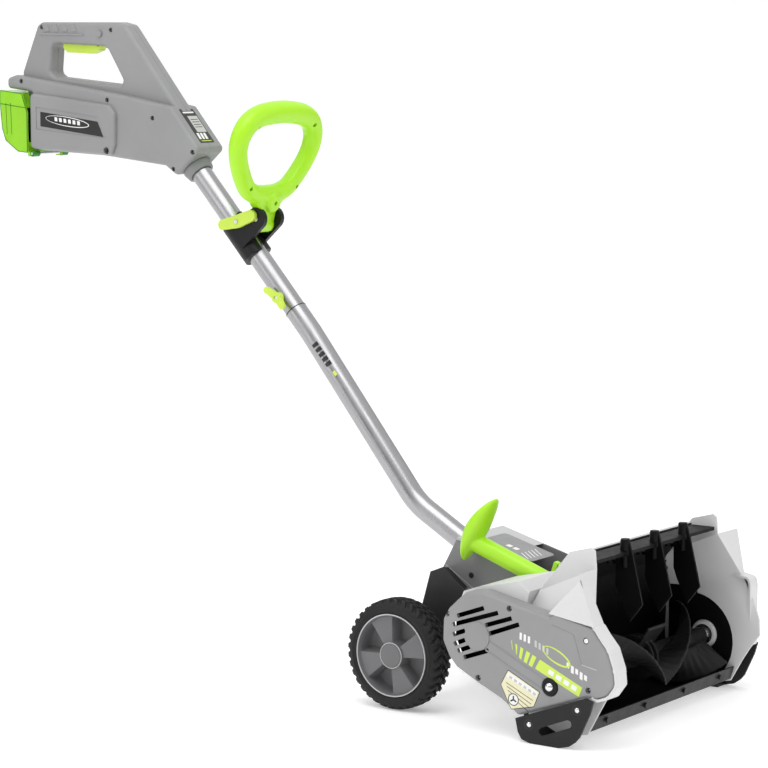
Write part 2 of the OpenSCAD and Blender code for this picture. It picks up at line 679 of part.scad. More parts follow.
// Butterfly nut that clamps the two tubes together.
module wing_knob() color([0.8, 0.9, 0.4]) placed() on_upper(knob_s) difference() {
    union() {
        translate([-27.6, 0, 0]) rotate([0, 90, 0]) cylinder(r = 8, h = 10);
        for (s = [-1, 1]) hull() {
            translate([-26, 0, 0]) rotate([0, 90, 0]) cylinder(r = 6, h = 7, $fn = 32);
            translate([-33, s * 3, s * 18]) rotate([0, 90, 0]) cylinder(r = 5, h = 5, $fn = 32);
        }
    }
    translate([-40, 0, 0]) rotate([0, 90, 0]) cylinder(r = 3.05, h = 40);
}

// Two-core lead from the switch down to the motor, held inside the tubes.
wire_pts = [[236, 184], [262, 203], [366, 265.6], [376, 273.4], [385, 284.6], [563, 508], [572, 518.8],
            [640, 594.4], [780, 750], [798, 768], [866, 812]];

module wire_harness() color([0.1, 0.1, 0.1]) placed() sweep_yz(wire_pts, 2.2, 8);

// ---------- front handle clamp ----------

module clamp_collar() color([0.1, 0.1, 0.11]) placed() difference() {
    union() {
        on_upper(collar_s0) cylinder(r = 23, h = collar_s1 - collar_s0);
        for (s = wheel_side) on_upper() {
            translate([s > 0 ? 17 : -25, -pivot_n, pivot_s]) rotate([0, 90, 0]) cylinder(r = 17, h = 8);
            translate([s > 0 ? 17 : -25, -pivot_n, pivot_s - 17]) cube([8, pivot_n, 34]);
            translate([s > 0 ? 17 : -25, -cam_n - 9, cam_s - 14]) cube([8, 22, 26]);
        }
    }
    on_upper(collar_s0 - 1) cylinder(r = upper_r + run_gap, h = 80);
    // split that lets the collar close on the tube
    on_upper() translate([-17, -60, collar_s0 - 2]) cube([34, 44, 80]);
    on_upper() translate([-40, -pivot_n, pivot_s]) rotate([0, 90, 0]) cylinder(r = 4 + run_gap, h = 80);
    on_upper() translate([-40, -cam_n, cam_s]) rotate([0, 90, 0]) cylinder(r = 3.1, h = 80);
}

// Flat bar with round ends along X-normal plane, from a to b in the upper tube's frame.
module bar(x0, t, a, b, ra, rb) {
    d = b - a;
    ang = atan2(d[1], d[0]);
    k = asin((ra - rb) / norm(d));
    pts = [a + ra * [cos(ang + 90 - k), sin(ang + 90 - k)], a + ra * [cos(ang - 90 + k), sin(ang - 90 + k)],
           b + rb * [cos(ang - 90 + k), sin(ang - 90 + k)], b + rb * [cos(ang + 90 - k), sin(ang + 90 - k)]];
    translate([x0, 0, 0]) rotate([90, 0, 90]) linear_extrude(t) {
        polygon(pts);
        translate(a) circle(r = ra);
        translate(b) circle(r = rb);
    }
}

module cam_lever() color([0.8, 0.9, 0.4]) placed() difference() {
    on_upper() {
        bar(-32, 6.6, [-cam_n, cam_s], [2, cam_s + 14], 10, 8);
        bar(-32, 6.6, [-cam_n, cam_s], [-48, cam_s - 10], 10, 9);
    }
    on_upper() translate([-40, -cam_n, cam_s]) rotate([0, 90, 0]) cylinder(r = 3 + run_gap, h = 30);
}

module clamp_bolt() color("silver") placed() on_upper() translate([-34, -cam_n, cam_s]) rotate([0, 90, 0]) {
    cylinder(r = 3, h = 64);
    translate([0, 0, 59.4]) cylinder(r = 6, h = 4.6, $fn = 6);
}

module handle_pivot() color("silver") placed() on_upper() translate([-24.8, -pivot_n, pivot_s])
    rotate([0, 90, 0]) cylinder(r = 4, h = 49.6);

// ---------- front handle ring, moulded as two halves ----------

ring_path = [for (i = [0:47]) let (a = 360 * i / 48)
    [ring_w / 2 * cos(a) * (1 + 0.13 * sin(a) - 0.05 * cos(2 * a)), ring_h / 2 * sin(a)]];
ring_r = ring_d / 2;
front_half = [for (i = [0:8]) let (a = 180 * i / 8) [ring_r * cos(a), 0.1 + (ring_r - 0.1) * sin(a)]];
back_half = [for (i = [0:8]) let (a = 180 + 180 * i / 8) [ring_r * cos(a), -0.1 + (ring_r - 0.1) * sin(a)]];
ring_holes = [[-70, 46], [70, 46], [-58, -48], [58, -48], [0, -82]];

// Neck between the ring and its pivot, drawn in the ring's plane.
module ring_neck(lo, hi) {
    translate([0, 0, lo]) linear_extrude(hi - lo) polygon([[-30, -56], [30, -56], [16.5, -84], [16.5, -112],
                                                          [-16.5, -112], [-16.5, -84]]);
}

module ring_half(section, lo, hi) difference() {
    union() {
        ring_sweep(ring_path, section);
        ring_neck(lo, hi);
    }
    for (h = ring_holes) translate([h[0], h[1], -30]) cylinder(r = 2, h = 60);
}

module pivot_bore() {
    on_upper() translate([-40, -pivot_n, pivot_s]) rotate([0, 90, 0]) cylinder(r = 4 + run_gap, h = 80);
}

module ring_front() color([0.68, 0.92, 0.2]) placed() difference() {
    on_ring() ring_half(front_half, 0.1, 12);
    pivot_bore();
}

module ring_back() color([0.62, 0.88, 0.18]) placed() difference() {
    on_ring() ring_half(back_half, -12, -0.1);
    pivot_bore();
}

module ring_screws() color("silver") placed() on_ring() for (h = ring_holes)
    translate([h[0], h[1], -9]) cylinder(r = 1.9, h = h[1] < -60 ? 20 : 18);

// ---------- rear grip ----------

grip_outline = [[1104, 776], [958, 770], [831, 757], [815, 745], [808, 742], [766, 779], [765, 786],
                [811, 852], [921, 974], [940, 978], [1098, 979], [1106, 974], [1140, 898], [1158, 890],
                [1158, 874], [1104, 868]];
grip_window = [[1079, 899], [1075, 940], [1068, 945], [968, 941], [958, 936], [927, 888], [930, 880], [1068, 892]];
body_outline = [[1104, 776], [958, 770], [831, 757], [808, 742], [766, 779], [765, 786], [818, 848],
                [911, 864], [1140, 895], [1158, 890], [1158, 874], [1104, 868]];
bay = [[1106, 778.7], [958, 773], [862, 765], [850, 790], [866, 838], [915, 853], [1106, 870.2]];

module grip_half() difference() {
    union() {
        yz(0.15, 18) difference() {
            polygon(grip_outline);
            polygon(grip_window);
        }
        yz(0.15, 33) polygon(body_outline);
        xrod(19, 25.6, door_y, door_z, 4.5);
        yz(19, 25.6) translate([door_y - 4.5, door_z]) square([9, 8]);
        yz(30, grip_x) polygon([[1104, 778], [958, 772], [905, 770], [900, 800], [930, 846], [1104, 866]]);
    }
    yz(-1, 30.5) polygon(bay);
    yz(-1, grip_x - shell_t) polygon([[1106, 780.6], [958, 775], [912, 773], [908, 800], [933, 843], [1106, 863]]);
    yz(-1, 18 - shell_t) offset(delta = -shell_t) difference() {
        polygon([[918, 860], [921, 974], [940, 978], [1098, 979], [1106, 974], [1136, 898], [1070, 880]]);
        polygon(grip_window);
    }
    yz(-1, 10) translate([974, 926]) square([92, 31.6]);
    placed_tube_bore();
    slot(-1, 4.3, [799, 768.7], [864, 810.7], 9);
    xrod(-1, 30, lock_y, lock_z, 4.9);
    for (h = grip_holes) xrod(-1, 60, h[0], h[1], 2);
    for (h = grip_holes) xrod(h[2], 60, h[0], h[1], 3.6);
    xrod(-1, 60, door_y, door_z, 2);
}

module placed_tube_bore() on_upper(150) cylinder(r = upper_r + 0.05, h = upper_l - 150 + 2);

grip_holes = [[1127, 885, 30], [854, 830, 30], [822, 762, 30], [778, 778, 30], [1095, 971, 14.5], [950, 966, 14.5]];

module grip_left() color([0.6, 0.6, 0.61]) placed() grip_half();
module grip_right() color([0.6, 0.6, 0.61]) placed() mirror([1, 0, 0]) grip_half();

module grip_screws() color([0.25, 0.25, 0.25]) placed() for (h = grip_holes) {
    xrod(-h[2] - 2, h[2] + 2, h[0], h[1], 1.9);
    xrod(-h[2] - 2.6, -h[2] - 0.1, h[0], h[1], 3.4);
}

module grip_collar() color([0.5, 0.5, 0.51]) placed() difference() {
    on_upper(316) cylinder(r1 = 21, r2 = 24, h = 13.5);
    on_upper(310) cylinder(r = upper_r + 0.05, h = 30);
}

module trigger() color([0.8, 0.9, 0.4]) placed() difference() {
    union() {
        yz(-8, 8) polygon([[978, 946], [1058, 949], [1058, 938], [1050, 931], [1000, 929], [984, 934]]);
        xrod(-8, 8, 984, 943, 6);
    }
    xrod(-20, 20, 984, 943, 2.5 + run_gap);
}

module switch_box() color([0.15, 0.15, 0.16]) placed() {
    translate([-7, 1000, 958]) cube([14, 40, 13]);
    translate([-3, 1024, 953]) cube([6, 6, 6]);
    xrod(-9.9, 9.9, 984, 943, 2.5);
    translate([-20, 872, 812]) cube([40, 30, 24]);
}

lock_y = 972;
lock_z = 960;

module lock_button() color([0.8, 0.9, 0.4]) placed() {
    xrod(-21.5, 17, lock_y, lock_z, 4.5);
    xrod(-7, 7, lock_y, lock_z, 6);
}

module battery() color([0.2, 0.2, 0.21]) placed() difference() {
    union() {
        translate([-30, 940, 788]) cube([60, 198, 54]);
        translate([-24, 930, 796]) cube([48, 11, 30]);
    }
    translate([-27, 943, 791]) cube([54, 192, 48]);
}

module battery_door() color([0.6, 0.9, 0.15, 0.6]) placed() difference() {
    union() {
        door_cap();
        for (s = wheel_side) xrod(s > 0 ? 26 : -40, s > 0 ? 40 : -26, door_y, door_z, 4.5);
        for (s = wheel_side) yz(s > 0 ? 26 : -40, s > 0 ? 40 : -26)
            translate([door_y, door_z - 4.5]) square([10, 6.8]);
    }
    xrod(-60, 60, door_y, door_z, 2 + run_gap);
}

door_y = 1098;
door_z = 770;

module door_pin() color("silver") placed() xrod(-42, 42, door_y, door_z, 2);

module door_cap() difference() {
    yz(-43, 43) polygon([[1106, 771], [1127, 773], [1153, 790], [1160, 808], [1165, 852], [1164, 871], [1117, 866],
                         [1106, 836]]);
    yz(-40.4, 40.4) polygon([[1100, 774], [1125, 776], [1150, 792], [1157, 808], [1162, 852], [1161.4, 868.2],
                             [1100, 866]]);
}

// ---------- selection ----------

hood();
cheek_right();
cheek_left();
scroll_liner();
scraper_bar();
belt_cover();
far_cover();
cover_screws();
skid_right();
skid_left();
skid_bolts();
auger_rotor();
auger_shaft();
bearings();
auger_pulley();
axle_nut();
drive_belt();
motor_can();
motor_rotor();
motor_bracket();
housing_body();
housing_lid();
body_screws();
wheel_bracket_right();
wheel_bracket_left();
axle();
tyre_right();
tyre_left();
rim_right();
rim_left();
vane_right();
vane_middle();
vane_left();
vane_pins();
vane_link();
chute_lever();
lever_bush();
lower_tube();
upper_tube();
tube_spigot();
joint_bolt();
wing_knob();
wire_harness();
clamp_collar();
cam_lever();
clamp_bolt();
handle_pivot();
ring_front();
ring_back();
ring_screws();
grip_right();
grip_left();
grip_screws();
grip_collar();
trigger();
lock_button();
switch_box();
battery();
battery_door();
door_pin();
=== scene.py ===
import math

import bmesh
import bpy
from mathutils import Matrix, Vector
from mathutils.geometry import tessellate_polygon


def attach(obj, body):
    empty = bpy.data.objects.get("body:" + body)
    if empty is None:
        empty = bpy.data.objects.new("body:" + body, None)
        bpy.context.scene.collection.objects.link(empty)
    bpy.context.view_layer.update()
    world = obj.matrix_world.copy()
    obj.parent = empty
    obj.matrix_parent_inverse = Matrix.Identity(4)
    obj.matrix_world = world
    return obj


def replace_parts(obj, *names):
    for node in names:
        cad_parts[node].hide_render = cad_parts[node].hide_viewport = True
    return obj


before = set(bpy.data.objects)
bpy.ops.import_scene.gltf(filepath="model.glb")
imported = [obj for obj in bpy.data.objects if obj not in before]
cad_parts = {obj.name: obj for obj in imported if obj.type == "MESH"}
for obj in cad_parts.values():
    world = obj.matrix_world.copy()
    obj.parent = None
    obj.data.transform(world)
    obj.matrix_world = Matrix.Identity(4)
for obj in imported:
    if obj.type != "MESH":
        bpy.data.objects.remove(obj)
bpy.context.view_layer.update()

# Positions below are in millimetres from the auger axis (y) and the floor (z), as the CAD is laid out.
ORIGIN_Y = 530.0
HALF_WIDTH = 230.0
WALL_X = 203.0
SIDES = ((-1, "right"), (1, "left"))


def metres(p):
    return Vector((p[0] / 1000, (p[1] - ORIGIN_Y) / 1000, p[2] / 1000))


# ---- materials

def nodes_of(name):
    material = bpy.data.materials.new(name)
    material.use_nodes = True
    tree = material.node_tree
    return material, tree, tree.nodes["Principled BSDF"]


def add_node(tree, kind, values):
    """A node with its inputs: sockets are linked, and constants are written in."""
    n = tree.nodes.new(kind)
    for key, value in values.items():
        if isinstance(value, bpy.types.NodeSocket):
            tree.links.new(value, n.inputs[key])
        else:
            n.inputs[key].default_value = value
    return n


def noise_node(tree, source, scale, detail, rough=0.55):
    values = {"Vector": source, "Scale": scale, "Detail": detail, "Roughness": rough}
    return add_node(tree, "ShaderNodeTexNoise", values).outputs["Fac"]


def ramp(tree, fac, stops):
    n = tree.nodes.new("ShaderNodeValToRGB")
    e = n.color_ramp.elements
    while len(e) < len(stops):
        e.new(0.5)
    for k, (pos, col) in enumerate(stops):
        e[k].position = pos
        e[k].color = (*col, 1.0)
    tree.links.new(fac, n.inputs["Fac"])
    return n.outputs["Color"]


def remap(tree, fac, lo, hi):
    """The middle of a noise spread over lo to hi."""
    values = {"Value": fac, "From Min": 0.3, "From Max": 0.7, "To Min": lo, "To Max": hi}
    return add_node(tree, "ShaderNodeMapRange", values).outputs["Result"]


def bumps(tree, layers):
    """layers: (height socket, strength, distance in metres)."""
    normal = None
    for height, strength, distance in layers:
        values = {"Height": height, "Strength": strength, "Distance": distance}
        if normal:
            values["Normal"] = normal
        normal = add_node(tree, "ShaderNodeBump", values).outputs["Normal"]
    return normal


def mix(tree, fac, a, b):
    n = tree.nodes.new("ShaderNodeMix")
    n.data_type = "RGBA"
    for socket, value in ((n.inputs[0], fac), (n.inputs[6], a), (n.inputs[7], b)):
        if isinstance(value, (tuple, list)):
            socket.default_value = (*value, 1.0)
        else:
            tree.links.new(value, socket)
    return n.outputs[2]


def coords(tree, rot_x=0.0, scale=(1, 1, 1)):
    """Object coordinates, turned about X and then scaled."""
    at = tree.nodes.new("ShaderNodeTexCoord").outputs["Object"]
    if rot_x == 0.0 and scale == (1, 1, 1):
        return at
    turned_by = add_node(tree, "ShaderNodeMapping", {"Vector": at, "Rotation": (rot_x, 0, 0)})
    scaled = add_node(tree, "ShaderNodeMapping", {"Vector": turned_by.outputs["Vector"], "Scale": scale})
    return scaled.outputs["Vector"]


def shades(color, spread):
    """A colour a little darker and a little lighter."""
    return [c * (1 - spread) for c in color], [min(1, c * (1 + spread)) for c in color]


def plastic(name, color, rough, grain, bump, mottle, scuff, spec=0.5):
    """Moulded plastic: faint mottling, a fine moulded grain, light scuffs and uneven gloss."""
    material, tree, bsdf = nodes_of(name)
    at = coords(tree)
    broad = noise_node(tree, at, 9.0, 4.0)
    fine = noise_node(tree, at, grain, 2.0)
    streak = noise_node(tree, coords(tree, 0.6, (40, 260, 900)), 1.0, 3.0)
    darker, lighter = shades(color, mottle)
    base = ramp(tree, broad, [(0.3, darker), (0.7, lighter)])
    worn = ramp(tree, streak, [(0.60, (0, 0, 0)), (0.74, (scuff, scuff, scuff))])
    scuffed = [min(1.0, c * 1.25 + 0.02) for c in color]
    tree.links.new(mix(tree, worn, base, scuffed), bsdf.inputs["Base Color"])
    gloss = remap(tree, noise_node(tree, at, 60.0, 5.0), rough - 0.05, rough + 0.07)
    tree.links.new(gloss, bsdf.inputs["Roughness"])
    tree.links.new(bumps(tree, [(fine, bump, 0.0004), (broad, 0.05, 0.002)]), bsdf.inputs["Normal"])
    bsdf.inputs["Specular IOR Level"].default_value = spec
    return material


def metal(name, color, rough, rot_x, stretch, bump, metallic=1.0, spread=0.06):
    """Brushed or plated metal: fine lines along one direction and faint smudges."""
    material, tree, bsdf = nodes_of(name)
    lines = noise_node(tree, coords(tree, rot_x, stretch), 1.0, 4.0, 0.7)
    smudge = noise_node(tree, coords(tree), 22.0, 5.0)
    darker, lighter = shades(color, spread)
    tree.links.new(ramp(tree, lines, [(0.3, darker), (0.7, lighter)]), bsdf.inputs["Base Color"])
    tree.links.new(remap(tree, smudge, rough - 0.05, rough + 0.10), bsdf.inputs["Roughness"])
    tree.links.new(bumps(tree, [(lines, bump, 0.0003)]), bsdf.inputs["Normal"])
    bsdf.inputs["Metallic"].default_value = metallic
    return material


def rubber(name, color, rough, spec):
    """Matt rubber: fine pits under patches of dust."""
    material, tree, bsdf = nodes_of(name)
    at = coords(tree)
    dust = noise_node(tree, at, 14.0, 6.0)
    pits = noise_node(tree, at, 700.0, 3.0)
    dusty = [c * 1.7 + 0.008 for c in color]
    tree.links.new(ramp(tree, dust, [(0.35, color), (0.75, dusty)]), bsdf.inputs["Base Color"])
    tree.links.new(remap(tree, dust, rough - 0.12, rough + 0.1), bsdf.inputs["Roughness"])
    tree.links.new(bumps(tree, [(pits, 0.25, 0.0005), (dust, 0.12, 0.001)]), bsdf.inputs["Normal"])
    bsdf.inputs["Specular IOR Level"].default_value = spec
    return material


def clear_plastic(name, color):
    """Tinted plastic that lets part of the light through."""
    material, tree, bsdf = nodes_of(name)
    at = coords(tree)
    cloud = noise_node(tree, at, 16.0, 4.0)
    tint = ramp(tree, cloud, [(0.3, [c * 0.9 for c in color]), (0.7, color)])
    tree.links.new(tint, bsdf.inputs["Base Color"])
    tree.links.new(remap(tree, cloud, 0.12, 0.22), bsdf.inputs["Roughness"])
    tree.links.new(bumps(tree, [(noise_node(tree, at, 45.0, 2.0), 0.06, 0.001)]), bsdf.inputs["Normal"])
    bsdf.inputs["Transmission Weight"].default_value = 0.45
    bsdf.inputs["IOR"].default_value = 1.45
    return material


TUBE_LEAN = math.radians(41.96)
# plastic: name, colour, roughness, grain scale, grain height, mottling, scuffs, specular level
# metal: name, colour, roughness, turn and stretch of the brushing, its height, metallic, spread of tone
M = {
    "white": plastic("white_moulding", (0.66, 0.66, 0.66), 0.40, 900, 0.08, 0.02, 0.06),
    "grey": plastic("grey_moulding", (0.275, 0.275, 0.28), 0.44, 1000, 0.14, 0.05, 0.10),
    "grey2": plastic("housing_grey", (0.22, 0.22, 0.225), 0.46, 1000, 0.14, 0.06, 0.10),
    "lid": plastic("lid_grey", (0.50, 0.50, 0.505), 0.42, 1000, 0.10, 0.04, 0.08),
    "black": plastic("black_moulding", (0.006, 0.006, 0.0065), 0.40, 900, 0.12, 0.10, 0.02, 0.28),
    "liner": plastic("black_liner", (0.003, 0.003, 0.0032), 0.50, 500, 0.15, 0.10, 0.01, 0.12),
    "vane": plastic("vane_black", (0.003, 0.003, 0.0032), 0.42, 700, 0.12, 0.10, 0.01, 0.16),
    "auger": rubber("auger_rubber", (0.005, 0.005, 0.0055), 0.50, 0.22),
    "tyre": rubber("tyre_rubber", (0.008, 0.008, 0.008), 0.66, 0.3),
    "rim": plastic("rim_grey", (0.135, 0.135, 0.14), 0.42, 1100, 0.12, 0.05, 0.10),
    # rim_edge: light grey painted on the rims' rounded lips and hub rings as their highlight
    "rim_painted_highlight": plastic("rim_edge", (0.50, 0.50, 0.50), 0.35, 900, 0.08, 0.05, 0.15),
    "lime": plastic("lime_moulding", (0.40, 0.80, 0.012), 0.33, 900, 0.07, 0.04, 0.06),
    "clip": plastic("clip_green", (0.58, 0.78, 0.08), 0.36, 900, 0.08, 0.05, 0.08),
    "steel": metal("zinc_steel", (0.78, 0.78, 0.80), 0.22, 0.0, (300, 300, 300), 0.04),
    "dark": metal("black_steel", (0.012, 0.012, 0.013), 0.45, 0.0, (90, 90, 90), 0.10, 0.05, 0.15),
    "skid": plastic("skid_black", (0.012, 0.012, 0.013), 0.45, 700, 0.16, 0.12, 0.06, 0.3),
    "alu": metal("brushed_tube", (0.38, 0.38, 0.39), 0.26, TUBE_LEAN, (700, 700, 7), 0.06, 1.0, 0.10),
    "iron": metal("pulley_iron", (0.20, 0.20, 0.21), 0.5, 0.0, (200, 200, 200), 0.12, 0.8, 0.12),
    "motor": metal("motor_can", (0.25, 0.25, 0.27), 0.4, 0.0, (20, 400, 400), 0.06, 0.6, 0.08),
    "door": clear_plastic("door_lime", (0.50, 1.0, 0.05)),
    "door_dark": clear_plastic("door_edge", (0.04, 0.35, 0.01)),
    "ink_white": plastic("print_white", (0.82, 0.82, 0.80), 0.35, 1500, 0.05, 0.03, 0.20),
    "ink_lime": plastic("print_lime", (0.58, 0.76, 0.10), 0.35, 1500, 0.05, 0.05, 0.25),
    "ink_cream": plastic("label_cream", (0.78, 0.74, 0.50), 0.35, 1500, 0.05, 0.04, 0.15),
    "ink_black": plastic("print_black", (0.015, 0.015, 0.016), 0.32, 1500, 0.05, 0.08, 0.10),
    "ink_grey": plastic("print_grey", (0.24, 0.24, 0.245), 0.35, 1500, 0.05, 0.05, 0.15),
    "ink_pale": plastic("print_pale_grey", (0.52, 0.52, 0.51), 0.35, 1500, 0.05, 0.05, 0.20),
}

# material, body and slot of pieces that ride on the head
GREY = (M["grey"], "head", "grey")
WHITE = (M["white"], "head", "white")
LINER = (M["liner"], "head", "black")

# ---- CAD nodes that keep their shape

NODE_LOOK = {
    "grey": "lock_button",
    "white": "hood cheek_right cheek_left vane_link",
    "lid": "housing_lid",
    "grey2": "housing_body grip_collar",
    "liner": "scroll_liner",
    "vane": "vane_right vane_middle vane_left",
    "black": "scraper_bar lever_bush clamp_collar switch_box battery",
    "auger": "auger_rotor drive_belt wire_harness",
    "clip": "wing_knob cam_lever trigger",
    "steel": "auger_shaft axle vane_pins joint_bolt clamp_bolt handle_pivot ring_screws door_pin"
             " motor_rotor bearings",
    "dark": "body_screws wheel_bracket_right wheel_bracket_left motor_bracket",
    "skid": "skid_right skid_left",
    "alu": "lower_tube upper_tube tube_spigot",
    "iron": "auger_pulley",
    "motor": "motor_can",
    "door": "battery_door",
}
ROTOR_VOXEL = 0.0017             # in metres
FLAT = math.radians(0.6)         # faces closer than this are joined
CREASE = math.radians(32)        # edges sharper than this stay sharp or are rounded
ROUNDING = {                     # rounding of the moulded nodes' edges, in metres
    0.0020: "clamp_collar",
    0.0016: "cam_lever",
    0.0015: "trigger battery",
    0.0014: "hood cheek_right cheek_left housing_lid housing_body",
    0.0012: "grip_collar",
    0.0010: "battery_door",
    0.0008: "wing_knob skid_right skid_left scraper_bar wheel_bracket_right wheel_bracket_left",
    0.0006: "vane_right vane_middle vane_left auger_rotor",
    0.0005: "vane_link",
    0.0004: "body_screws",
}
EDGE = {node: width for width, names in ROUNDING.items() for node in names.split()}
NORMAL_WEIGHT = 80


def modify(obj, name, kind, **settings):
    modifier = obj.modifiers.new(name, kind)
    for key, value in settings.items():
        setattr(modifier, key, value)


def melt(obj, voxel, rounds):
    """Soft moulded shape: remeshed in voxels, then smoothed."""
    modify(obj, "voxel", "REMESH", mode="VOXEL", voxel_size=voxel, use_smooth_shade=True)
    modify(obj, "soften", "SMOOTH", factor=0.5, iterations=rounds)


def finish_cad(node, material):
    """Gives a CAD node its material, and rounds its edges with modifiers."""
    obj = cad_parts[node]
    obj.data.materials.clear()
    obj.data.materials.append(material)
    for poly in obj.data.polygons:
        poly.use_smooth = True
        poly.material_index = 0
    for name in ("custom_normal", "sharp_face", "sharp_edge"):
        layer = obj.data.attributes.get(name)
        if layer:
            obj.data.attributes.remove(layer)
    modify(obj, "weld", "WELD", merge_threshold=0.00001)
    if node == "auger_rotor":
        melt(obj, ROTOR_VOXEL, 6)
        return
    modify(obj, "planar", "DECIMATE", decimate_type="DISSOLVE", angle_limit=FLAT)
    if node in EDGE:
        modify(obj, "edges", "BEVEL", width=EDGE[node], segments=2, limit_method="ANGLE", angle_limit=CREASE,
               miter_outer="MITER_ARC")
        modify(obj, "normals", "WEIGHTED_NORMAL", weight=NORMAL_WEIGHT)
    else:
        modify(obj, "split", "EDGE_SPLIT", split_angle=CREASE)


# ---- mesh helpers

def make(name, points, faces, material, body, slot, sharp=32, weighted=True, place=None):
    """A piece from points in millimetres."""
    mesh = bpy.data.meshes.new(name)
    place = place or (lambda p: p)
    mesh.from_pydata([metres(place(p)) for p in points], [], faces)
    work = bmesh.new()
    work.from_mesh(mesh)
    bmesh.ops.remove_doubles(work, verts=work.verts, dist=1e-6)
    bmesh.ops.recalc_face_normals(work, faces=work.faces)
    work.to_mesh(mesh)
    work.free()
    obj = bpy.data.objects.new(name, mesh)
    bpy.context.scene.collection.objects.link(obj)
    mesh.materials.append(material)
    return shade(obj, body, sharp, weighted)


def shade(obj, body, sharp=32, weighted=True):
    """Smooth shading up to the sharp angle, and the body that the piece belongs to."""
    obj.data.shade_smooth()
    obj.data.set_sharp_from_angle(angle=math.radians(sharp))
    if weighted and "normals" not in obj.modifiers:
        modify(obj, "normals", "WEIGHTED_NORMAL", keep_sharp=True, weight=NORMAL_WEIGHT)
    if body:
        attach(obj, body)
    return obj


def carve(obj, *tools):
    """Cuts tool pieces out of a piece for good."""
    obj.modifiers.clear()
    for tool in tools:
        modify(obj, "cut", "BOOLEAN", operation="DIFFERENCE", solver="EXACT", object=tool)
    settle(obj)
    for tool in tools:
        bpy.data.objects.remove(tool)


def settle(obj):
    """Applies a piece's modifiers for good."""
    graph = bpy.context.evaluated_depsgraph_get()
    mesh = bpy.data.meshes.new_from_object(obj.evaluated_get(graph))
    obj.modifiers.clear()
    obj.data = mesh
    return obj


def area(loop):
    """Signed area of a closed outline, positive when it runs counterclockwise."""
    return sum(loop[i - 1][0] * loop[i][1] - loop[i][0] * loop[i - 1][1] for i in range(len(loop))) / 2


def rounded(loop, r, steps=5):
    """Rounds the corners of a closed outline by r, or less where its edges are short."""
    out = []
    n = len(loop)
    for i in range(n):
        p0, p, p1 = Vector(loop[i - 1]), Vector(loop[i]), Vector(loop[(i + 1) % n])
        a, b = (p0 - p), (p1 - p)
        la, lb = a.length, b.length
        turn = math.pi - a.angle(b)
        if turn < math.radians(4):
            out.append(tuple(p))
            continue
        cut = min(r * math.tan(turn / 2), 0.46 * la, 0.46 * lb)
        s, e = p + a * (cut / la), p + b * (cut / lb)
        for k in range(steps + 1):
            t = k / steps
            out.append(tuple(s * (1 - t) ** 2 + p * 2 * t * (1 - t) + e * t * t))
    return out


def inset(loop, d):
    """A closed outline moved inwards by d."""
    out = []
    n = len(loop)
    for i in range(n):
        p0, p, p1 = Vector(loop[i - 1]), Vector(loop[i]), Vector(loop[(i + 1) % n])
        a, b = (p - p0).normalized(), (p1 - p).normalized()
        na, nb = Vector((-a.y, a.x)), Vector((-b.y, b.x))
        m = na + nb
        m = m.normalized() if m.length > 1e-6 else na
        out.append(tuple(p + m * (d / max(0.4, m.dot(na)))))
    return out


def slab(name, loops, x0, x1, radii, material, body, slot, back=0.0, place=None, steps=5, weighted=True):
    """A plate from x0 to x1 with its outline and holes, rounded by radii at x1 and by back at x0."""
    s = 1 if x1 > x0 else -1
    if not isinstance(radii, (list, tuple)):
        radii = [radii] + [0.5] * (len(loops) - 1)
    loops = [list(l) if (area(l) > 0) == (k == 0) else list(reversed(l)) for k, l in enumerate(loops)]
    rings, points, faces = [], [], []
    for loop, r in zip(loops, radii):
        profile = []
        if back > 0:
            for k in range(3):
                a = math.pi / 2 * k / 3
                profile.append((x0 + s * back * (1 - math.cos(a)), back * (1 - math.sin(a))))
            profile.append((x0 + s * back, 0.0))
        else:
            profile.append((x0, 0.0))
        if r > 0:
            for k in range(steps + 1):
                a = math.pi / 2 * k / steps
                profile.append((x1 - s * r * (1 - math.sin(a)), r * (1 - math.cos(a))))
        else:
            profile.append((x1, 0.0))
        own = []
        for x, d in profile:
            ring = inset(loop, d) if d else loop
            own.append(range(len(points), len(points) + len(ring)))
            points += [(x, p[0], p[1]) for p in ring]
        for u, v in zip(own, own[1:]):
            m = len(u)
            faces += [(u[i], u[(i + 1) % m], v[(i + 1) % m], v[i]) for i in range(m)]
        rings.append((own[0], own[-1]))
    for side in (0, 1):
        flat = [[Vector((points[i][1], points[i][2], 0)) for i in pair[side]] for pair in rings]
        index = [i for pair in rings for i in pair[side]]
        faces += [tuple(index[k] for k in tri) for tri in tessellate_polygon(flat)]
    return make(name, points, faces, material, body, slot, 32, weighted, place)


def circle(y, z, r, n=32):
    return [(y + r * math.cos(2 * math.pi * k / n), z + r * math.sin(2 * math.pi * k / n)) for k in range(n)]


def bar_loop(p, q, w, r=None):
    """Outline of a straight bar from p to q."""
    p, q = Vector(p), Vector(q)
    d = (q - p).normalized() * (w / 2)
    n = Vector((-d.y, d.x))
    return rounded([tuple(p - n), tuple(q - n), tuple(q + n), tuple(p + n)], w * 0.25 if r is None else r, 3)


def tile(at, across, down):
    """Outline of a leaning four-sided block, from one corner and two of its edges."""
    (y, z), (ay, az), (dy, dz) = at, across, down
    return [(y, z), (y + ay, z + az), (y + ay + dy, z + az + dz), (y + dy, z + dz)]


def ccw(loop):
    return loop if area(loop) > 0 else loop[::-1]


def along(path, d):
    """An open path moved sideways by d."""
    out = []
    for i, p in enumerate(path):
        a, b = Vector(path[max(i - 1, 0)]), Vector(path[min(i + 1, len(path) - 1)])
        t = (b - a).normalized()
        out.append((p[0] - t.y * d, p[1] + t.x * d))
    return out


def turned(x, side, pairs):
    """Profile for revolve, from (radius, height above the wall at x) pairs."""
    return [(r, x + side * h) for r, h in pairs]


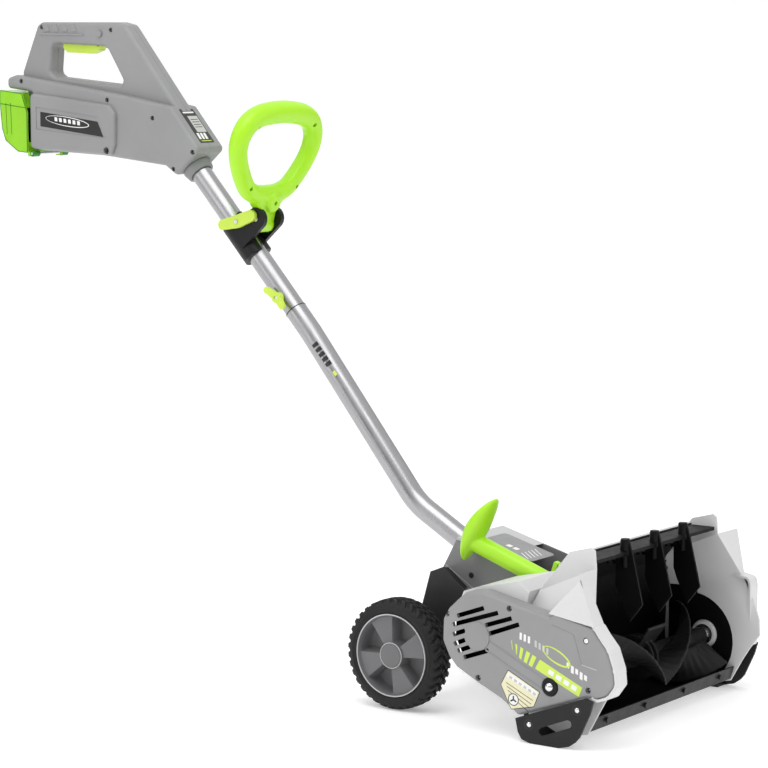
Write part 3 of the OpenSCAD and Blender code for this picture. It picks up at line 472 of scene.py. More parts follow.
def revolve(name, profile, centre, material, body, slot, steps, closed=False):
    """profile: (radius, x) pairs, turned about the line along X through centre (y, z)."""
    points, faces = [], []
    m = len(profile)
    for k in range(steps):
        a = 2 * math.pi * k / steps
        points += [(x, centre[0] + r * math.cos(a), centre[1] + r * math.sin(a)) for r, x in profile]
    for k in range(steps):
        b = (k + 1) % steps
        for j in range(m if closed else m - 1):
            i = (j + 1) % m
            faces.append((k * m + j, b * m + j, b * m + i, k * m + i))
    if not closed:
        for j in (0, m - 1):
            if profile[j][0] > 1e-4:
                faces.append(tuple(k * m + j for k in range(steps)))
    return make(name, points, faces, material, body, slot, 32, False)


def skin(rows, n, closed=False):
    """Faces between rings of n points, closed on themselves or capped at both ends."""
    faces = []
    for j in range(rows if closed else rows - 1):
        i = (j + 1) % rows
        faces += [(j * n + k, j * n + (k + 1) % n, i * n + (k + 1) % n, i * n + k) for k in range(n)]
    if not closed:
        faces += [tuple(range(n)), tuple((rows - 1) * n + k for k in range(n))]
    return faces


def prism(ring, ends, put):
    """Points and faces of a closed bar whose ring of points is put at both ends."""
    n = len(ring)
    points = [put(p, end) for end in ends for p in ring]
    caps = [tuple(range(n)), tuple(range(n, 2 * n))]
    return points, caps + [(k, (k + 1) % n, n + (k + 1) % n, n + k) for k in range(n)]


def block(u0, u1, v0, v1, w0, w1):
    points = [(u, v, w) for u in (u0, u1) for v in (v0, v1) for w in (w0, w1)]
    return points, [(0, 1, 3, 2), (4, 6, 7, 5), (0, 4, 5, 1), (2, 3, 7, 6), (0, 2, 6, 4), (1, 5, 7, 3)]


def rod_tool(y, z, r, x0, x1, n=20):
    """Round bar along X, to cut a hole with."""
    bar = prism(circle(y, z, r, n), (x0, x1), lambda p, x: (x, p[0], p[1]))
    return make("tool", *bar, M["grey"], None, None, 180, False)


def decal(name, loop, x, material, slot="grey", thick=0.25, hole=None, sink=0.6):
    """Thin print on the wall at x, sunk into it a little."""
    side = -1 if x < 0 else 1
    loops = [loop, hole] if hole else [loop]
    return slab(name, loops, x - side * sink, x + side * thick, [0.0] * len(loops), material, "head", slot,
                weighted=False)


def oval_ring(cy, cz, a, b, w, lean, n=48):
    """Leaning oval and its hole, thick on one side and thin on the other."""
    outer, inner = [], []
    for k in range(n):
        t = 2 * math.pi * k / n
        thin = w * (0.45 + 0.55 * (0.5 - 0.5 * math.cos(t)))
        for store, d in ((outer, 0.0), (inner, thin)):
            u, v = (a - d) * math.cos(t), (b - d) * math.sin(t)
            store.append((cy + u * math.cos(lean) - v * math.sin(lean),
                          cz + u * math.sin(lean) + v * math.cos(lean)))
    return outer, inner


# ---- side covers

COVER = [(176, 124), (175, 155), (166, 170), (150, 185), (137, 196), (112, 199), (79, 192), (2, 176),
         (-4, 183), (-70, 171), (-78, 160), (-93, 143), (-103, 116), (-105, 94), (-92, 76), (-74, 69),
         (-57, 73), (52, 34), (64, 44), (80, 54), (118, 71), (153, 89), (165, 102)]
FRONT_EDGE = COVER[9:16]
COVER_SCREWS = [(168, 162), (66, 181), (116, 78.5), (-60, 84)]
FRONT_SCREW = (-56, 151)
SCREW_HOLE_R = 4.4
VENTS = [((151, 161), (107, 177)), ((158, 148), (84, 173)), ((105, 153), (62, 168)), ((99, 142), (50, 161)),
         ((158, 134), (138, 142)), ((156, 121), (138, 129)), ((150, 112), (130, 120)),
         ((140, 104), (99, 119))]
VENT_WIDTH = 6.2
PLATE = 6.2          # thickness of a cover's face plate
BAND = 3.0           # thickness of the wall band behind it
AUGER = (0, 81)      # auger axis
LIP = [(-64, 172.5)] + FRONT_EDGE + [(-64, 71.5)]
LIP_W = 4.6
FAR_FRONT = -73.0    # where the far cover ends


def cover_outline(side):
    """The near cover stops short of the cheek's lip; the far one is cut off straight."""
    if side > 0:
        return [(max(y, FAR_FRONT), z) for y, z in COVER]
    return COVER[:9] + along(FRONT_EDGE, LIP_W) + COVER[16:]


def side_cover(name, side, vents):
    """Face plate with vents and recessed screws, and the wall band behind it."""
    face, back = side * HALF_WIDTH, side * (WALL_X + 0.4)
    outline = rounded(cover_outline(side), 9, 4)
    holes = [circle(*FRONT_SCREW, SCREW_HOLE_R, 20), circle(*AUGER, 13, 40)]
    holes += [bar_loop(p, q, VENT_WIDTH, 1.2) for p, q in vents]
    material, key = (M["grey"], "grey") if vents else (M["white"], "white")
    plate = slab(name, [outline] + holes, face - side * PLATE, face, [5.0] + [0.5] * len(holes), material,
                 None, None, weighted=False)
    carve(plate, *[rod_tool(y, z, SCREW_HOLE_R, face - side * 4.4, face + side * 5) for y, z in COVER_SCREWS])
    shade(plate, "head")
    edge = ccw(outline)
    slab(f"{name}_wall", [edge, inset(edge, BAND)], back, face - side * 6.0, 0.0, material, "head", key)
    return plate


lip_loop = rounded(LIP, 4, 3)
slab("cheek_lip", [lip_loop + along(lip_loop, LIP_W - 0.5)[::-1]], -WALL_X - 0.5, -HALF_WIDTH + 0.3, 1.2,
     *WHITE)

# black linings inside the cheeks
UPPER_LINING = [(12, 130), (13, 150.5), (58, 149), (60, 120), (40, 110)]
wall_lining = [(min(y, 60.0), z) for y, z in circle(22, 72, 69, 120)]
for side, tag in SIDES:
    slab(f"upper_lining_{tag}", [UPPER_LINING], side * 200.4, side * 198.9, 0.3, *LINER, weighted=False)
    slab(f"wall_lining_{tag}", [wall_lining, circle(*AUGER, 21, 48)], side * 200.6, side * 199.0, [0.5, 0.3],
         *LINER, weighted=False)

# white gusset between the near cover's top edge and the cheek
flank_out = [(-229.8, -69, 170.5), (-229.8, 3, 181.5), (-221, -40, 230.0)]
flank_in = [(-204, y, z) for _, y, z in flank_out]
make("cheek_flank", flank_out + flank_in, [(0, 1, 2), (3, 5, 4), (0, 3, 4, 1), (1, 4, 5, 2), (2, 5, 3, 0)],
     *WHITE)

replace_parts(side_cover("right_cover", -1, VENTS), "belt_cover")
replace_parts(side_cover("left_cover", 1, []), "far_cover")

slab("motor_boss", [circle(117.5, 136.5, 20, 48)], -HALF_WIDTH + 1, -HALF_WIDTH - 1.5, 1.0, *GREY)
for k, y in enumerate(range(-60, 131, 24)):
    slab(f"left_rib_{k}", [rounded([(y, 96), (y + 5, 96), (y + 5, 162), (y, 162)], 2, 3)], HALF_WIDTH - 1,
         HALF_WIDTH + 1.5, 0.8, *WHITE)

COVER_SCREW = [(0.0, -1.0), (1.2, -1.0), (1.5, 0.0), (3.0, 0.0), (3.5, -0.5), (3.6, -4.0), (0.0, -4.0)]
# black sheet inside each cover: painted shade for the dark cavity seen through the vents and holes
painted_shade_sheet = [(max(y, -38), z) for y, z in inset(ccw(rounded(COVER, 9, 3)), 7)]
for side, tag in SIDES:
    slab(f"cover_painted_shade_sheet_{tag}", [painted_shade_sheet], side * (WALL_X + 1.5), side * (WALL_X + 3.0), 0.0, *LINER)
    for k, (y, z) in enumerate(COVER_SCREWS + [FRONT_SCREW]):
        bright = (y, z) == FRONT_SCREW
        x = side * (HALF_WIDTH - (0.4 if bright else 4.0))
        screw = revolve(f"cover_screw_{tag}_{k}", turned(x, side, COVER_SCREW), (y, z),
                        M["steel"] if bright else M["dark"], "head", "steel", 28)
        if k == 0 and side < 0:
            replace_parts(screw, "cover_screws")
        # black lining in each recessed screw's well: painted shade in the recess
        if not bright:
            slab(f"screw_well_{tag}_{k}", [circle(y, z, 4.6, 20)], x - side * 3.6, x - side * 1.0, 0.0,
                 *LINER)

# ---- marks on the near cover

XF = -HALF_WIDTH     # the near cover's face


def cover_print(name, loop, ink, thick=0.25, hole=None):
    decal(name, loop, XF, M[f"ink_{ink}"], thick=thick, hole=hole)


# shoulder channel from the motor boss towards the auger nut, and the panel at the front
for k, (p, q) in enumerate((((99.1, 133.5), (10.6, 92.1)), ((104.8, 120.2), (12.7, 77.6)))):
    slab(f"channel_rib_{k}", [bar_loop(p, q, 1.3)], XF + 0.5, XF - 0.55, 0.4, *GREY, steps=2)
    below = [(y - 0.9, z - 1.9) for y, z in (p, q)]
    cover_print(f"channel_shade_{k}", bar_loop(*below, 1.2), "grey", thick=0.12)
panel = [(-1.9, 166.8), (-36.4, 157.7), (-49.7, 118.0), (-73.2, 113.5)]
# the panel's raised edge line: its darker grey is painted shade, and the pale grey of its bottom stretch (k
# == 2) is a painted highlight
for k, (p, q) in enumerate(zip(panel, panel[1:])):
    slab(f"panel_line_{k}", [bar_loop(p, q, 1.1)], XF + 0.5, XF - 0.3, 0.2,
         M["ink_pale"] if k == 2 else M["ink_grey"], "head", "grey", steps=2)

# plain printed graphics in place of the lettering and labels
cover_print("stripe_main", rounded([(15.9, 116.9), (-51.1, 87.0), (-45.9, 73.6), (23.7, 103.5)], 1), "lime")
HATCH = [[(27.9, 122.1), (21.5, 119.3), (28.6, 104.9), (34.2, 107.5)],
         [(37.5, 126.4), (31.4, 123.6), (37.2, 108.6), (42.1, 111.2)],
         [(47.2, 130.5), (42.4, 128.3), (45.8, 113.1), (49.5, 115.4)],
         [(55.3, 134.0), (52.4, 132.7), (52.8, 118.4), (54.4, 120.3)],
         [(62.3, 138.0), (61.0, 137.4), (59.6, 124.6), (60.4, 125.4)]]
for k, loop in enumerate(HATCH):
    cover_print(f"stripe_hatch_{k}", loop, "lime")
for k in range(4):
    loop = tile((1.0 - 12.0 * k, 105.6 - 5.2 * k), (-8.4, -3.6), (2.4, -6.2))
    cover_print(f"stripe_block_{k}", rounded(loop, 0.8), "white", thick=0.4)
for k in range(3):
    loop = tile((48.5 - 6.6 * k, 150.5 - 1.7 * k), (-3.6, -0.9), (0.4, -9.6))
    cover_print(f"title_bar_{k}", rounded(loop, 0.6), "white")
for k in range(5):
    loop = tile((-26.5 - 6.9 * k, 119.0 - 3.4 * k), (-4.4, -2.1), (0.4, -10.0 if k % 2 else -7.0))
    cover_print(f"name_bar_{k}", rounded(loop, 0.7), "white")
for k in range(4):
    loop = tile((24.5 - 6.2 * k, 142.8 - 2.6 * k), (-3.4, -1.5), (0.0, -9.0))
    cover_print(f"middle_bar_{k}", rounded(loop, 0.6), "pale")
swoosh, swoosh_hole = oval_ring(-10.5, 124.0, 24, 9.5, 3.0, math.radians(25))
cover_print("swoosh_ring", swoosh, "lime", thick=0.3, hole=swoosh_hole)

# shield-shaped label: a heading, rows of blocks, lines and a three-bladed pictogram
LABEL = ccw([(67.2, 96.5), (15.5, 72.1), (24.9, 50.0), (62.0, 41.5), (79.2, 74.7)])
PICTURE = (58.0, 56.0)
PICTURE_R = 7.4
cover_print("label_border", rounded(LABEL, 1.5), "black", thick=0.15)
cover_print("label_field", rounded(inset(LABEL, 1.0), 1.2), "cream", thick=0.3)
cover_print("label_head", rounded([(65.8, 93.2), (18.6, 71.2), (21.3, 64.2), (70.6, 87.0)], 0.8), "white",
            thick=0.38)
for k in range(6):
    loop = tile((64.0 - 7.6 * k, 88.6 - 3.5 * k), (-4.4, -2.0), (1.2, -3.4))
    cover_print(f"label_block_{k}", loop, "pale", thick=0.45)
for k in range(4):
    z = 78.5 - 5.4 * k
    loop = bar_loop((70 - 1.6 * k, z), (27 + 2.5 * k, z - 19.6), 0.8, 0.2)
    cover_print(f"label_line_{k}", loop, "black", thick=0.42)
picture_field = circle(*PICTURE, PICTURE_R, 36)
cover_print("label_picture_ring", circle(*PICTURE, PICTURE_R + 1.2, 36), "black", thick=0.5,
      hole=picture_field)
cover_print("label_picture_field", picture_field, "white", thick=0.46)
for k in range(3):
    a = math.radians(90 + 120 * k)
    tip = (PICTURE[0] + 5.4 * math.cos(a), PICTURE[1] + 5.4 * math.sin(a))
    cover_print(f"label_picture_blade_{k}", bar_loop(PICTURE, tip, 2.2, 0.9), "black", thick=0.52)

# ---- nuts on the skids and the auger's end

SKID_NUTS = ((-46, 56), (30, 26))
SKID_NUT = [(0.0, 0.85), (1.6, 0.8), (3.0, 0.4), (3.9, -0.4), (4.2, -1.2), (5.6, -1.3), (6.0, -1.8),
            (6.0, -3.2), (0.0, -3.2)]
for side, tag in SIDES:
    for k, (y, z) in enumerate(SKID_NUTS):
        x = side * 235.0
        nut = revolve(f"skid_nut_{tag}_{k}", turned(x, side, SKID_NUT), (y, z), M["steel"], "head", "steel",
                      36)
        if side < 0 and k == 0:
            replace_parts(nut, "skid_bolts")
        slab(f"skid_ring_{tag}_{k}", [circle(y, z, 7.4, 36), circle(y, z, 5.6, 36)], x - side * 1.2,
             x + side * 0.25, [0.3, 0.2], M["dark"], "head", "darksteel")

WASHER = [(6.0, -229.0), (12.2, -229.0), (12.4, -230.6), (11.4, -231.8), (9.0, -232.0), (8.2, -231.0),
          (6.0, -231.0)]
ACORN = [(0.0, -235.85), (2.4, -235.5), (4.4, -234.6), (5.8, -233.2), (6.4, -231.6), (6.6, -230.0),
         (8.0, -230.0), (8.2, -229.0), (0.0, -229.0)]
revolve("nut_washer", WASHER, AUGER, M["black"], "auger", "steel", 48, closed=True)
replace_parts(revolve("acorn_nut", ACORN, AUGER, M["steel"], "auger", "steel", 48), "axle_nut")

# ---- wheels

AXLE = (292.0, 80.0)
FACE_X = 190.0
WHEEL_W = 45.0
STEPS = 480          # steps of the tyre's grid around the axle
PITCH = 2 * math.pi / 36
# (radius, depth behind the face) up the sidewall, then depths across half the tread
SIDEWALL = [(59.8, 3.5), (61.0, 2.2), (63.0, 1.6), (65.5, 1.2), (66.2, 0.4), (67.6, 0.4), (68.4, 1.3),
            (71.0, 1.9), (72.6, 2.6), (73.8, 4.2)]
TREAD = [5.2, 6.4, 8.0, 10.0, 12.0, 14.0, 15.4, 16.2, 18.0, 20.0, 21.4, 22.5]


def smooth(t):
    t = max(0.0, min(1.0, t))
    return t * t * (3 - 2 * t)


def gate(t, start, stop, ease):
    """1 on a tread block and 0 in the groove, where t is a share of the pitch."""
    return smooth((t - start) / ease) * (1 - smooth((t - stop) / ease))


def tread_radius(a, w, shift):
    """Radius at angle a and depth w: shoulder blocks, and staggered blocks in the middle."""
    u = w if w <= WHEEL_W / 2 else WHEEL_W - w
    crown = 76.0 - 0.020 * max(0.0, 14.0 - u) ** 2
    if u < 15.8:
        t = ((a + (u - 6.0) * 0.010) / PITCH + shift) % 1.0
        lift = gate(t, 0.08, 0.66, 0.07) * smooth((u - 4.6) / 1.5) * (3.6 if u > 6 else 2.4)
    else:
        t = ((a - 0.012 * (u - 19)) / PITCH + 0.25 + shift) % 1.0
        lift = gate(t, 0.04, 0.62, 0.08) * smooth((u - 16.4) / 1.2) * 3.8
    return crown + lift


def wheel_point(side, r, w, a):
    return (side * (FACE_X - w), AXLE[0] + r * math.cos(a), AXLE[1] + r * math.sin(a))


def tyre(side, tag):
    """Block tread over a ribbed carcass, on one closed grid."""
    half = SIDEWALL + [(None, w) for w in TREAD]
    m = 2 * len(half) - 1
    near_lugs, far_lugs = range(8, 11), range(m - 11, m - 8)
    points, faces = [], []
    for k in range(STEPS):
        a = 2 * math.pi * k / STEPS
        row = [(tread_radius(a, w, 0.0) if r is None else r, w) for r, w in half]
        for r, w in reversed(half[:-1]):
            row.append((tread_radius(a, WHEEL_W - w, 0.5) if r is None else r, WHEEL_W - w))
        for j, (r, w) in enumerate(row):
            if j in near_lugs or j in far_lugs:
                t = (a / PITCH + (0.0 if j in near_lugs else 0.5)) % 1.0
                r += 1.5 * gate(t, 0.08, 0.66, 0.07) * (0.4 if j in (8, m - 9) else 1.0)
            points.append(wheel_point(side, r, w, a))
    for k in range(STEPS):
        b = (k + 1) % STEPS
        for j in range(m):
            i = (j + 1) % m
            faces.append((k * m + j, b * m + j, b * m + i, k * m + i))
    obj = make(f"{tag}_tyre", points, faces, M["tyre"], f"wheel_{tag}", "tyre", 40, False)
    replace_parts(obj, f"tyre_{tag}")


RIM_RADII = [6.9, 9, 12, 15, 17.4, 18.2, 18.6, 19.4, 21, 24, 27, 30, 34, 38, 42, 46, 49, 51, 52.5, 53.6,
             54.6, 55.6, 56.6, 57.6, 58.6]
RIM_BACK = [(59.7, 2.4), (59.7, 42.0), (54.5, 42.0), (54.5, 30.0), (20.0, 30.0), (14.0, 30.0), (14.0, 69.0),
            (6.9, 69.0)]
RIM_EDGE = [(58.0, 0.3), (58.6, 0.9), (59.4, 0.9), (59.8, 0.3), (59.6, -0.8), (58.2, -0.8)]
HUB_CAP = [(0.0, 1.2), (15.6, 1.2), (16.2, 0.7), (16.8, 0.7), (17.1, -1.2), (0.0, -1.2)]
HUB_RING = [(17.6, 0.1), (17.9, 0.8), (18.5, 0.8), (18.9, 0.1), (18.6, -0.8), (17.8, -0.8)]
SPOKES = [math.radians(-111 + 90 * q) for q in range(4)]


def rim_depth(r, a):
    """Depth of the rim's face: four petals that widen outwards, and pockets between them."""
    if r <= 18.3:
        return 1.2 + (0.9 if r > 17.3 else 0.0) - (0.7 if r > 16.0 else 0.0)
    near = min(abs((a - spoke + math.pi) % (2 * math.pi) - math.pi) for spoke in SPOKES)
    half_width = 7.0 + (r - 18.0) * (12.0 / 39.0)
    gap = r * math.sin(min(near, math.pi / 2)) - half_width
    petal = 4.2 + 1.6 * smooth((r - 20) / 34.0)
    pocket = 20.0 * smooth(gap / 4.2) * smooth((57.0 - r) / 4.0) * smooth((r - 18.4) / 2.2)
    lip = smooth((r - 55.8) / 1.4)
    return (petal + pocket) * (1 - lip) + 1.6 * lip


def rim(side, tag):
    """The face on a grid about the axle, closed by the disc's back and the barrel."""
    n = 360
    turn = [2 * math.pi * k / n for k in range(n)]
    points = [wheel_point(side, r, rim_depth(r, a), a) for r in RIM_RADII for a in turn]
    points += [wheel_point(side, r, w, a) for r, w in RIM_BACK for a in turn]
    faces = skin(len(RIM_RADII) + len(RIM_BACK), n, closed=True)
    wheel = f"wheel_{tag}"
    obj = make(f"{tag}_rim", points, faces, M["rim"], wheel, "rimgrey", 38, False)
    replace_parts(obj, f"rim_{tag}")
    x = side * (FACE_X - 1.6)
    # light-grey rings on the rim's lip and round the hub cap: painted highlights on these rounded edges
    revolve(f"{tag}_rim_edge", turned(x, side, RIM_EDGE), AXLE, M["rim_painted_highlight"], wheel, "rimgrey", 120, True)
    revolve(f"{tag}_hub_cap", turned(x, side, HUB_CAP), AXLE, M["rim"], wheel, "rimgrey", 72)
    revolve(f"{tag}_hub_ring", turned(x, side, HUB_RING), AXLE, M["rim_painted_highlight"], wheel, "rimgrey", 72, True)


for side, tag in SIDES:
    tyre(side, tag)
    rim(side, tag)

# ---- front handle ring

RING_TILT = math.radians(104.4)
COS_T, SIN_T = math.cos(RING_TILT), math.sin(RING_TILT)
# right half of the ring's centre line from the top, as (u, v, radius of the bar)
RING_HALF = [(0.0, 65.0, 17.5), (27.0, 63.5, 17.5), (54.0, 59.5, 17.0), (76.0, 49.0, 16.3),
             (88.0, 32.0, 15.4), (90.5, 12.0, 14.6), (84.0, -8.0, 14.2), (74.0, -25.0, 14.2),
             (61.0, -42.0, 14.2), (47.0, -55.0, 14.4), (26.0, -63.0, 15.0), (0.0, -65.0, 15.5)]
RING_SHIFT = -3.5
RING_SCREWS = ((-68, 44, 9.0), (66, 47, 9.0), (-60, -50, 7.0), (54, -51, 7.0), (2, -74, 13.0))
POST_END = -112      # centre of the post's round foot, on the handle's pivot
POST_HALF = 18.0


def ring_place(p):
    """u across, v up the ring's plane, w out of it."""
    u, v, w = p
    return (u, 639.5 + v * COS_T - w * SIN_T, 779.0 + v * SIN_T + w * COS_T)


def smooth_loop(knots, per):
    """Closed Catmull-Rom curve through knots of any length."""
    out = []
    n = len(knots)
    for i in range(n):
        k = [Vector(knots[(i + j) % n]) for j in (-1, 0, 1, 2)]
        for m in range(per):
            t = m / per
            out.append(0.5 * (2 * k[1] + (k[2] - k[0]) * t + (2 * k[0] - 5 * k[1] + 4 * k[2] - k[3]) * t * t
                              + (3 * k[1] - k[0] - 3 * k[2] + k[3]) * t ** 3))
    return out


def loop_tube(knots, sides):
    """Closed round bar in the plane w = 0, through (u, v, radius) knots."""
    points = []
    for i, (u, v, r) in enumerate(knots):
        a, b = knots[i - 1], knots[(i + 1) % len(knots)]
        t = Vector((b[0] - a[0], b[1] - a[1], 0.0)).normalized()
        out = Vector((t.y, -t.x, 0)).normalized()
        for k in range(sides):
            angle = 2 * math.pi * k / sides
            d = r * math.cos(angle)
            points.append((u + out.x * d, v + out.y * d, r * math.sin(angle)))
    return points, skin(len(knots), sides, closed=True)


def fuse(name, parts, material, place, voxel, rounds):
    """Joins overlapping closed parts into one smooth moulding."""
    points, faces = [], []
    for pts, fcs in parts:
        base = len(points)
        points += pts
        faces += [tuple(base + i for i in f) for f in fcs]
    obj = make(name, points, faces, material, None, None, 180, False, place)
    melt(obj, voxel, rounds)
    return settle(obj)


def disc(u, v, r, w0, w1, n=36, dome=6.0):
    """Closed disc from w0 to w1 with eased edges."""
    rings = [(r - dome, w0), (r, w0 + dome), (r, w1 - dome), (r - 0.3 * dome, w1 - 0.3 * dome),
             (r - dome, w1)]
    points = [(*p, w) for radius, w in rings for p in circle(u, v, radius, n)]
    return points, skin(len(rings), n)


ring_knots = RING_HALF + [(-u, v, r) for u, v, r in reversed(RING_HALF[1:-1])]
ring_curve = smooth_loop([Vector((u + RING_SHIFT, v, r)) for u, v, r in ring_knots], 7)
web = [(-34, -58), (30, -58), (30, -72), (19, -86), (-21, -86), (-34, -72)]
ring_parts = [loop_tube(ring_curve, 28),
              prism(web, (-11.0, 11.0), lambda p, w: (*p, w)),
              block(-POST_HALF, POST_HALF, POST_END, -80, -10.5, 10.5),
              prism(circle(POST_END, 0, 12.5), (-POST_HALF, POST_HALF), lambda p, u: (u, *p)),
              disc(2, -74, 16.5, -13.0, 18.5)]
front_ring = fuse("front_ring", ring_parts, M["lime"], ring_place, 0.0013, 9)
screw_wells = []
for k, (u, v, w) in enumerate(RING_SCREWS):
    well = prism(circle(u, v, 3.4, 20), (w, 26.0), lambda p, end: (*p, end))
    screw_wells.append(make("hole", *well, M["lime"], None, None, 180, False, ring_place))
    head = disc(u, v, 2.9, w - 1.0, w + 0.6, 20, 0.6)
    make(f"ring_screw_{k + 1}", *head, M["dark"], "front_handle", "steel", 32, False, ring_place)
carve(front_ring, *screw_wells)
shade(front_ring, "front_handle", 40, False)
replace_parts(front_ring, "ring_front", "ring_back")

# ---- chute lever

LEVER_X = -80.0
STEM = (0.9415, 0.3369)   # the stem's direction, towards the front and down


def lever_place(p):
    """u across, t down the stem, n square to it."""
    u, t, n = p
    return (LEVER_X + u, 211.0 - STEM[0] * t - STEM[1] * n, 232.0 - STEM[1] * t + STEM[0] * n)


def lever_bar(r, t0, t1, n_off=0.0, count=32):
    return prism(circle(0, n_off, r, count), (t0, t1), lambda p, t: (p[0], t, p[1]))


def lens_grip():
    """Cross grip: thick in the middle, thin at both ends, leaning back a little at the top."""
    points, n, rows = [], 28, 33
    for i in range(rows):
        xi = -0.995 + 1.99 * i / (rows - 1)
        thick = 14.0 * (1 - abs(xi) ** 1.6) ** 0.9 + 2.2 * math.sqrt(max(0.0, 1 - xi ** 8))
        wide = 18.0 * math.sqrt(1 - abs(xi) ** 2.6) + 1.0
        centre_n = 21.0 + 54.0 * xi
        centre_t = -11.0 + 10.0 * xi - 6.0 * (1 - xi * xi) + 3.0
        for k in range(n):
            a = 2 * math.pi * k / n
            points.append((wide * math.cos(a), centre_t + thick * math.sin(a), centre_n))
    return points, skin(rows, n)


def lever_piece(name, part):
    return make(name, *part, M["lime"], "lever", "lime", 32, False, lever_place)


lever = fuse("lever", [lens_grip(), lever_bar(13.4, -8, 121.5)], M["lime"], lever_place, 0.0012, 16)
shade(lever, "lever", 180, False)
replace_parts(lever, "chute_lever")
lever_piece("lever_rod", lever_bar(7.9, 120, 148))
lever_piece("lever_crank", block(-5.0, 5.0, 122.4, 128.4, -2.0, 33.0))
lever_piece("lever_pin", lever_bar(2.5, 122, 156, 30.0, 20))

# ---- rear grip

GRIP_LOOP = [(1104, 778), (958, 772), (831, 759), (809, 744), (768, 780), (767, 786), (819, 850), (921, 974),
             (940, 978), (1098, 979), (1106, 974), (1140, 898), (1130, 870)]
GRIP_WINDOW = [(1079, 899), (1075, 940), (1068, 945), (968, 941), (958, 936), (927, 888), (930, 880),
               (1068, 892)]
GRIP_BODY = [(1104, 776), (958, 770), (831, 757), (808, 742), (766, 779), (765, 786), (818, 848), (911, 864),
             (1140, 895), (1158, 890), (1158, 874), (1104, 868)]
GRIP_BAY = [(1104, 778), (958, 772), (934, 771), (927, 788), (926, 836), (938, 849), (1104, 867)]
GRIP_POCKET = [(974, 926), (1066, 926), (1066, 957.6), (974, 957.6)]
GRIP_RECESS = [(1090, 845), (962, 831), (941, 797), (1090, 809)]
LOOP_X, BODY_X, BAY_X = 18, 33, 40   # outer faces of the loop, the body and the battery bay
GRIP_SCREWS = {LOOP_X: [(1095, 971), (950, 966)],
               BODY_X: [(1127, 885), (946, 857), (854, 830), (813, 752), (775, 779)],
               BAY_X: [(943, 777)]}
GRIP_SCREW = [(0.0, -1.0), (1.1, -1.0), (1.4, 0.0), (3.0, 0.0), (3.4, -0.5), (3.4, -2.0), (0.0, -2.0)]
RIB = [(0, 963.5), (11.0, 963.5), (19.0, 976.5), (8.0, 976.5)]
GRIP_STEP = [(1098, 958.5), (1008, 957.0), (1004, 960.0), (1098, 962.3)]
GRIP_PLATE = [(1081, 837), (961, 823), (949, 799), (1081, 814)]


def grip_half(side, tag):
    """Hand loop, body and battery bay of one half, with the screws' recesses."""
    seam = side * 0.15
    raw = (M["grey"], None, None)
    loop_half = slab(f"grip_loop_{tag}", [rounded(GRIP_LOOP, 12, 5), rounded(GRIP_WINDOW, 9, 5)], seam,
                     side * LOOP_X, [7.5, 6.0], *raw, 0.35, weighted=False)
    body_half = slab(f"grip_body_{tag}", [rounded(GRIP_BODY, 7, 4)], seam, side * BODY_X, 6.0, *raw, 0.35,
                     weighted=False)
    bay_half = slab(f"grip_bay_{tag}", [rounded(GRIP_BAY, 9, 5)], side * 25, side * BAY_X, 5.0, *raw,
                    weighted=False)
    pocket = slab("pocket", [GRIP_POCKET], -side * 2, side * 10, 0.0, *raw, weighted=False)
    wells = [rod_tool(y, z, 3.9, side * 14.5, side * 30) for y, z in GRIP_SCREWS[LOOP_X]]
    carve(loop_half, pocket, rod_tool(972, 960, 5.0, -side * 2, side * 30), *wells)
    carve(body_half, *[rod_tool(y, z, 3.9, side * 29.0, side * 45) for y, z in GRIP_SCREWS[BODY_X]])
    recess = slab("recess", [rounded(GRIP_RECESS, 3, 3)], side * 39.0, side * 42, 0.0, *raw, weighted=False)
    carve(bay_half, recess, rod_tool(943, 778, 5.6, side * 32.0, side * 45, 28))
    for piece in (loop_half, body_half, bay_half):
        shade(piece, "head")
    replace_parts(body_half, f"grip_{tag}")


def grip_details(side, tag):
    """Screws, the ribbed pad at the rear of the hand loop, and the plain side graphic."""
    for face_x, places in GRIP_SCREWS.items():
        for k, centre in enumerate(places):
            profile = turned(side * (face_x - 3.2), side, GRIP_SCREW)
            screw = revolve(f"grip_screw_{tag}_{face_x}_{k}", profile, centre, M["dark"], "head",
                            "darksteel", 24)
            if side < 0 and face_x == LOOP_X and k == 0:
                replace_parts(screw, "grip_screws")
    for k in range(4):
        rib = [(1076 - 19.0 * k + y, z) for y, z in RIB]
        slab(f"grip_rib_{tag}_{k}", [rounded(rib, 1.6, 3)], side * 16.5, side * 19.6, 1.2, *GREY, steps=4)
    slab(f"grip_step_{tag}", [rounded(GRIP_STEP, 0.8, 3)], side * 16.5, side * 19.3, 0.8, *GREY, steps=3)
    x = side * 39.0
    decal(f"grip_plate_{tag}", rounded(GRIP_PLATE, 1.0, 3), x, M["ink_black"], thick=0.3)
    oval, hole = oval_ring(1024, 822, 46, 7.6, 1.6, math.radians(6.8))
    decal(f"grip_swoosh_{tag}", oval, x, M["ink_white"], thick=0.45, hole=hole, sink=0.5)
    for k in range(6):
        loop = tile((1051 - 9.5 * k, 829.0 - 1.1 * k), (-5.8, -0.7), (-0.6, -6.3))
        decal(f"grip_mark_{tag}_{k}", rounded(loop, 0.8, 3), x, M["ink_white"], thick=0.45)


for side, tag in SIDES:
    grip_half(side, tag)
    grip_details(side, tag)

# ---- label on the sloped nose of the grip

NOSE_DIR = Vector((53.0, 62.0)).normalized()


def nose_place(p):
    """w out of the nose, u across, v up its slope."""
    w, u, v = p
    return (u, 765 + NOSE_DIR.x * v - NOSE_DIR.y * w, 786 + NOSE_DIR.y * v + NOSE_DIR.x * w)


def nose_decal(name, loop, thick, material):
    return slab(name, [loop], -0.8, thick, 0.0, material, "head", "grey", place=nose_place, weighted=False)


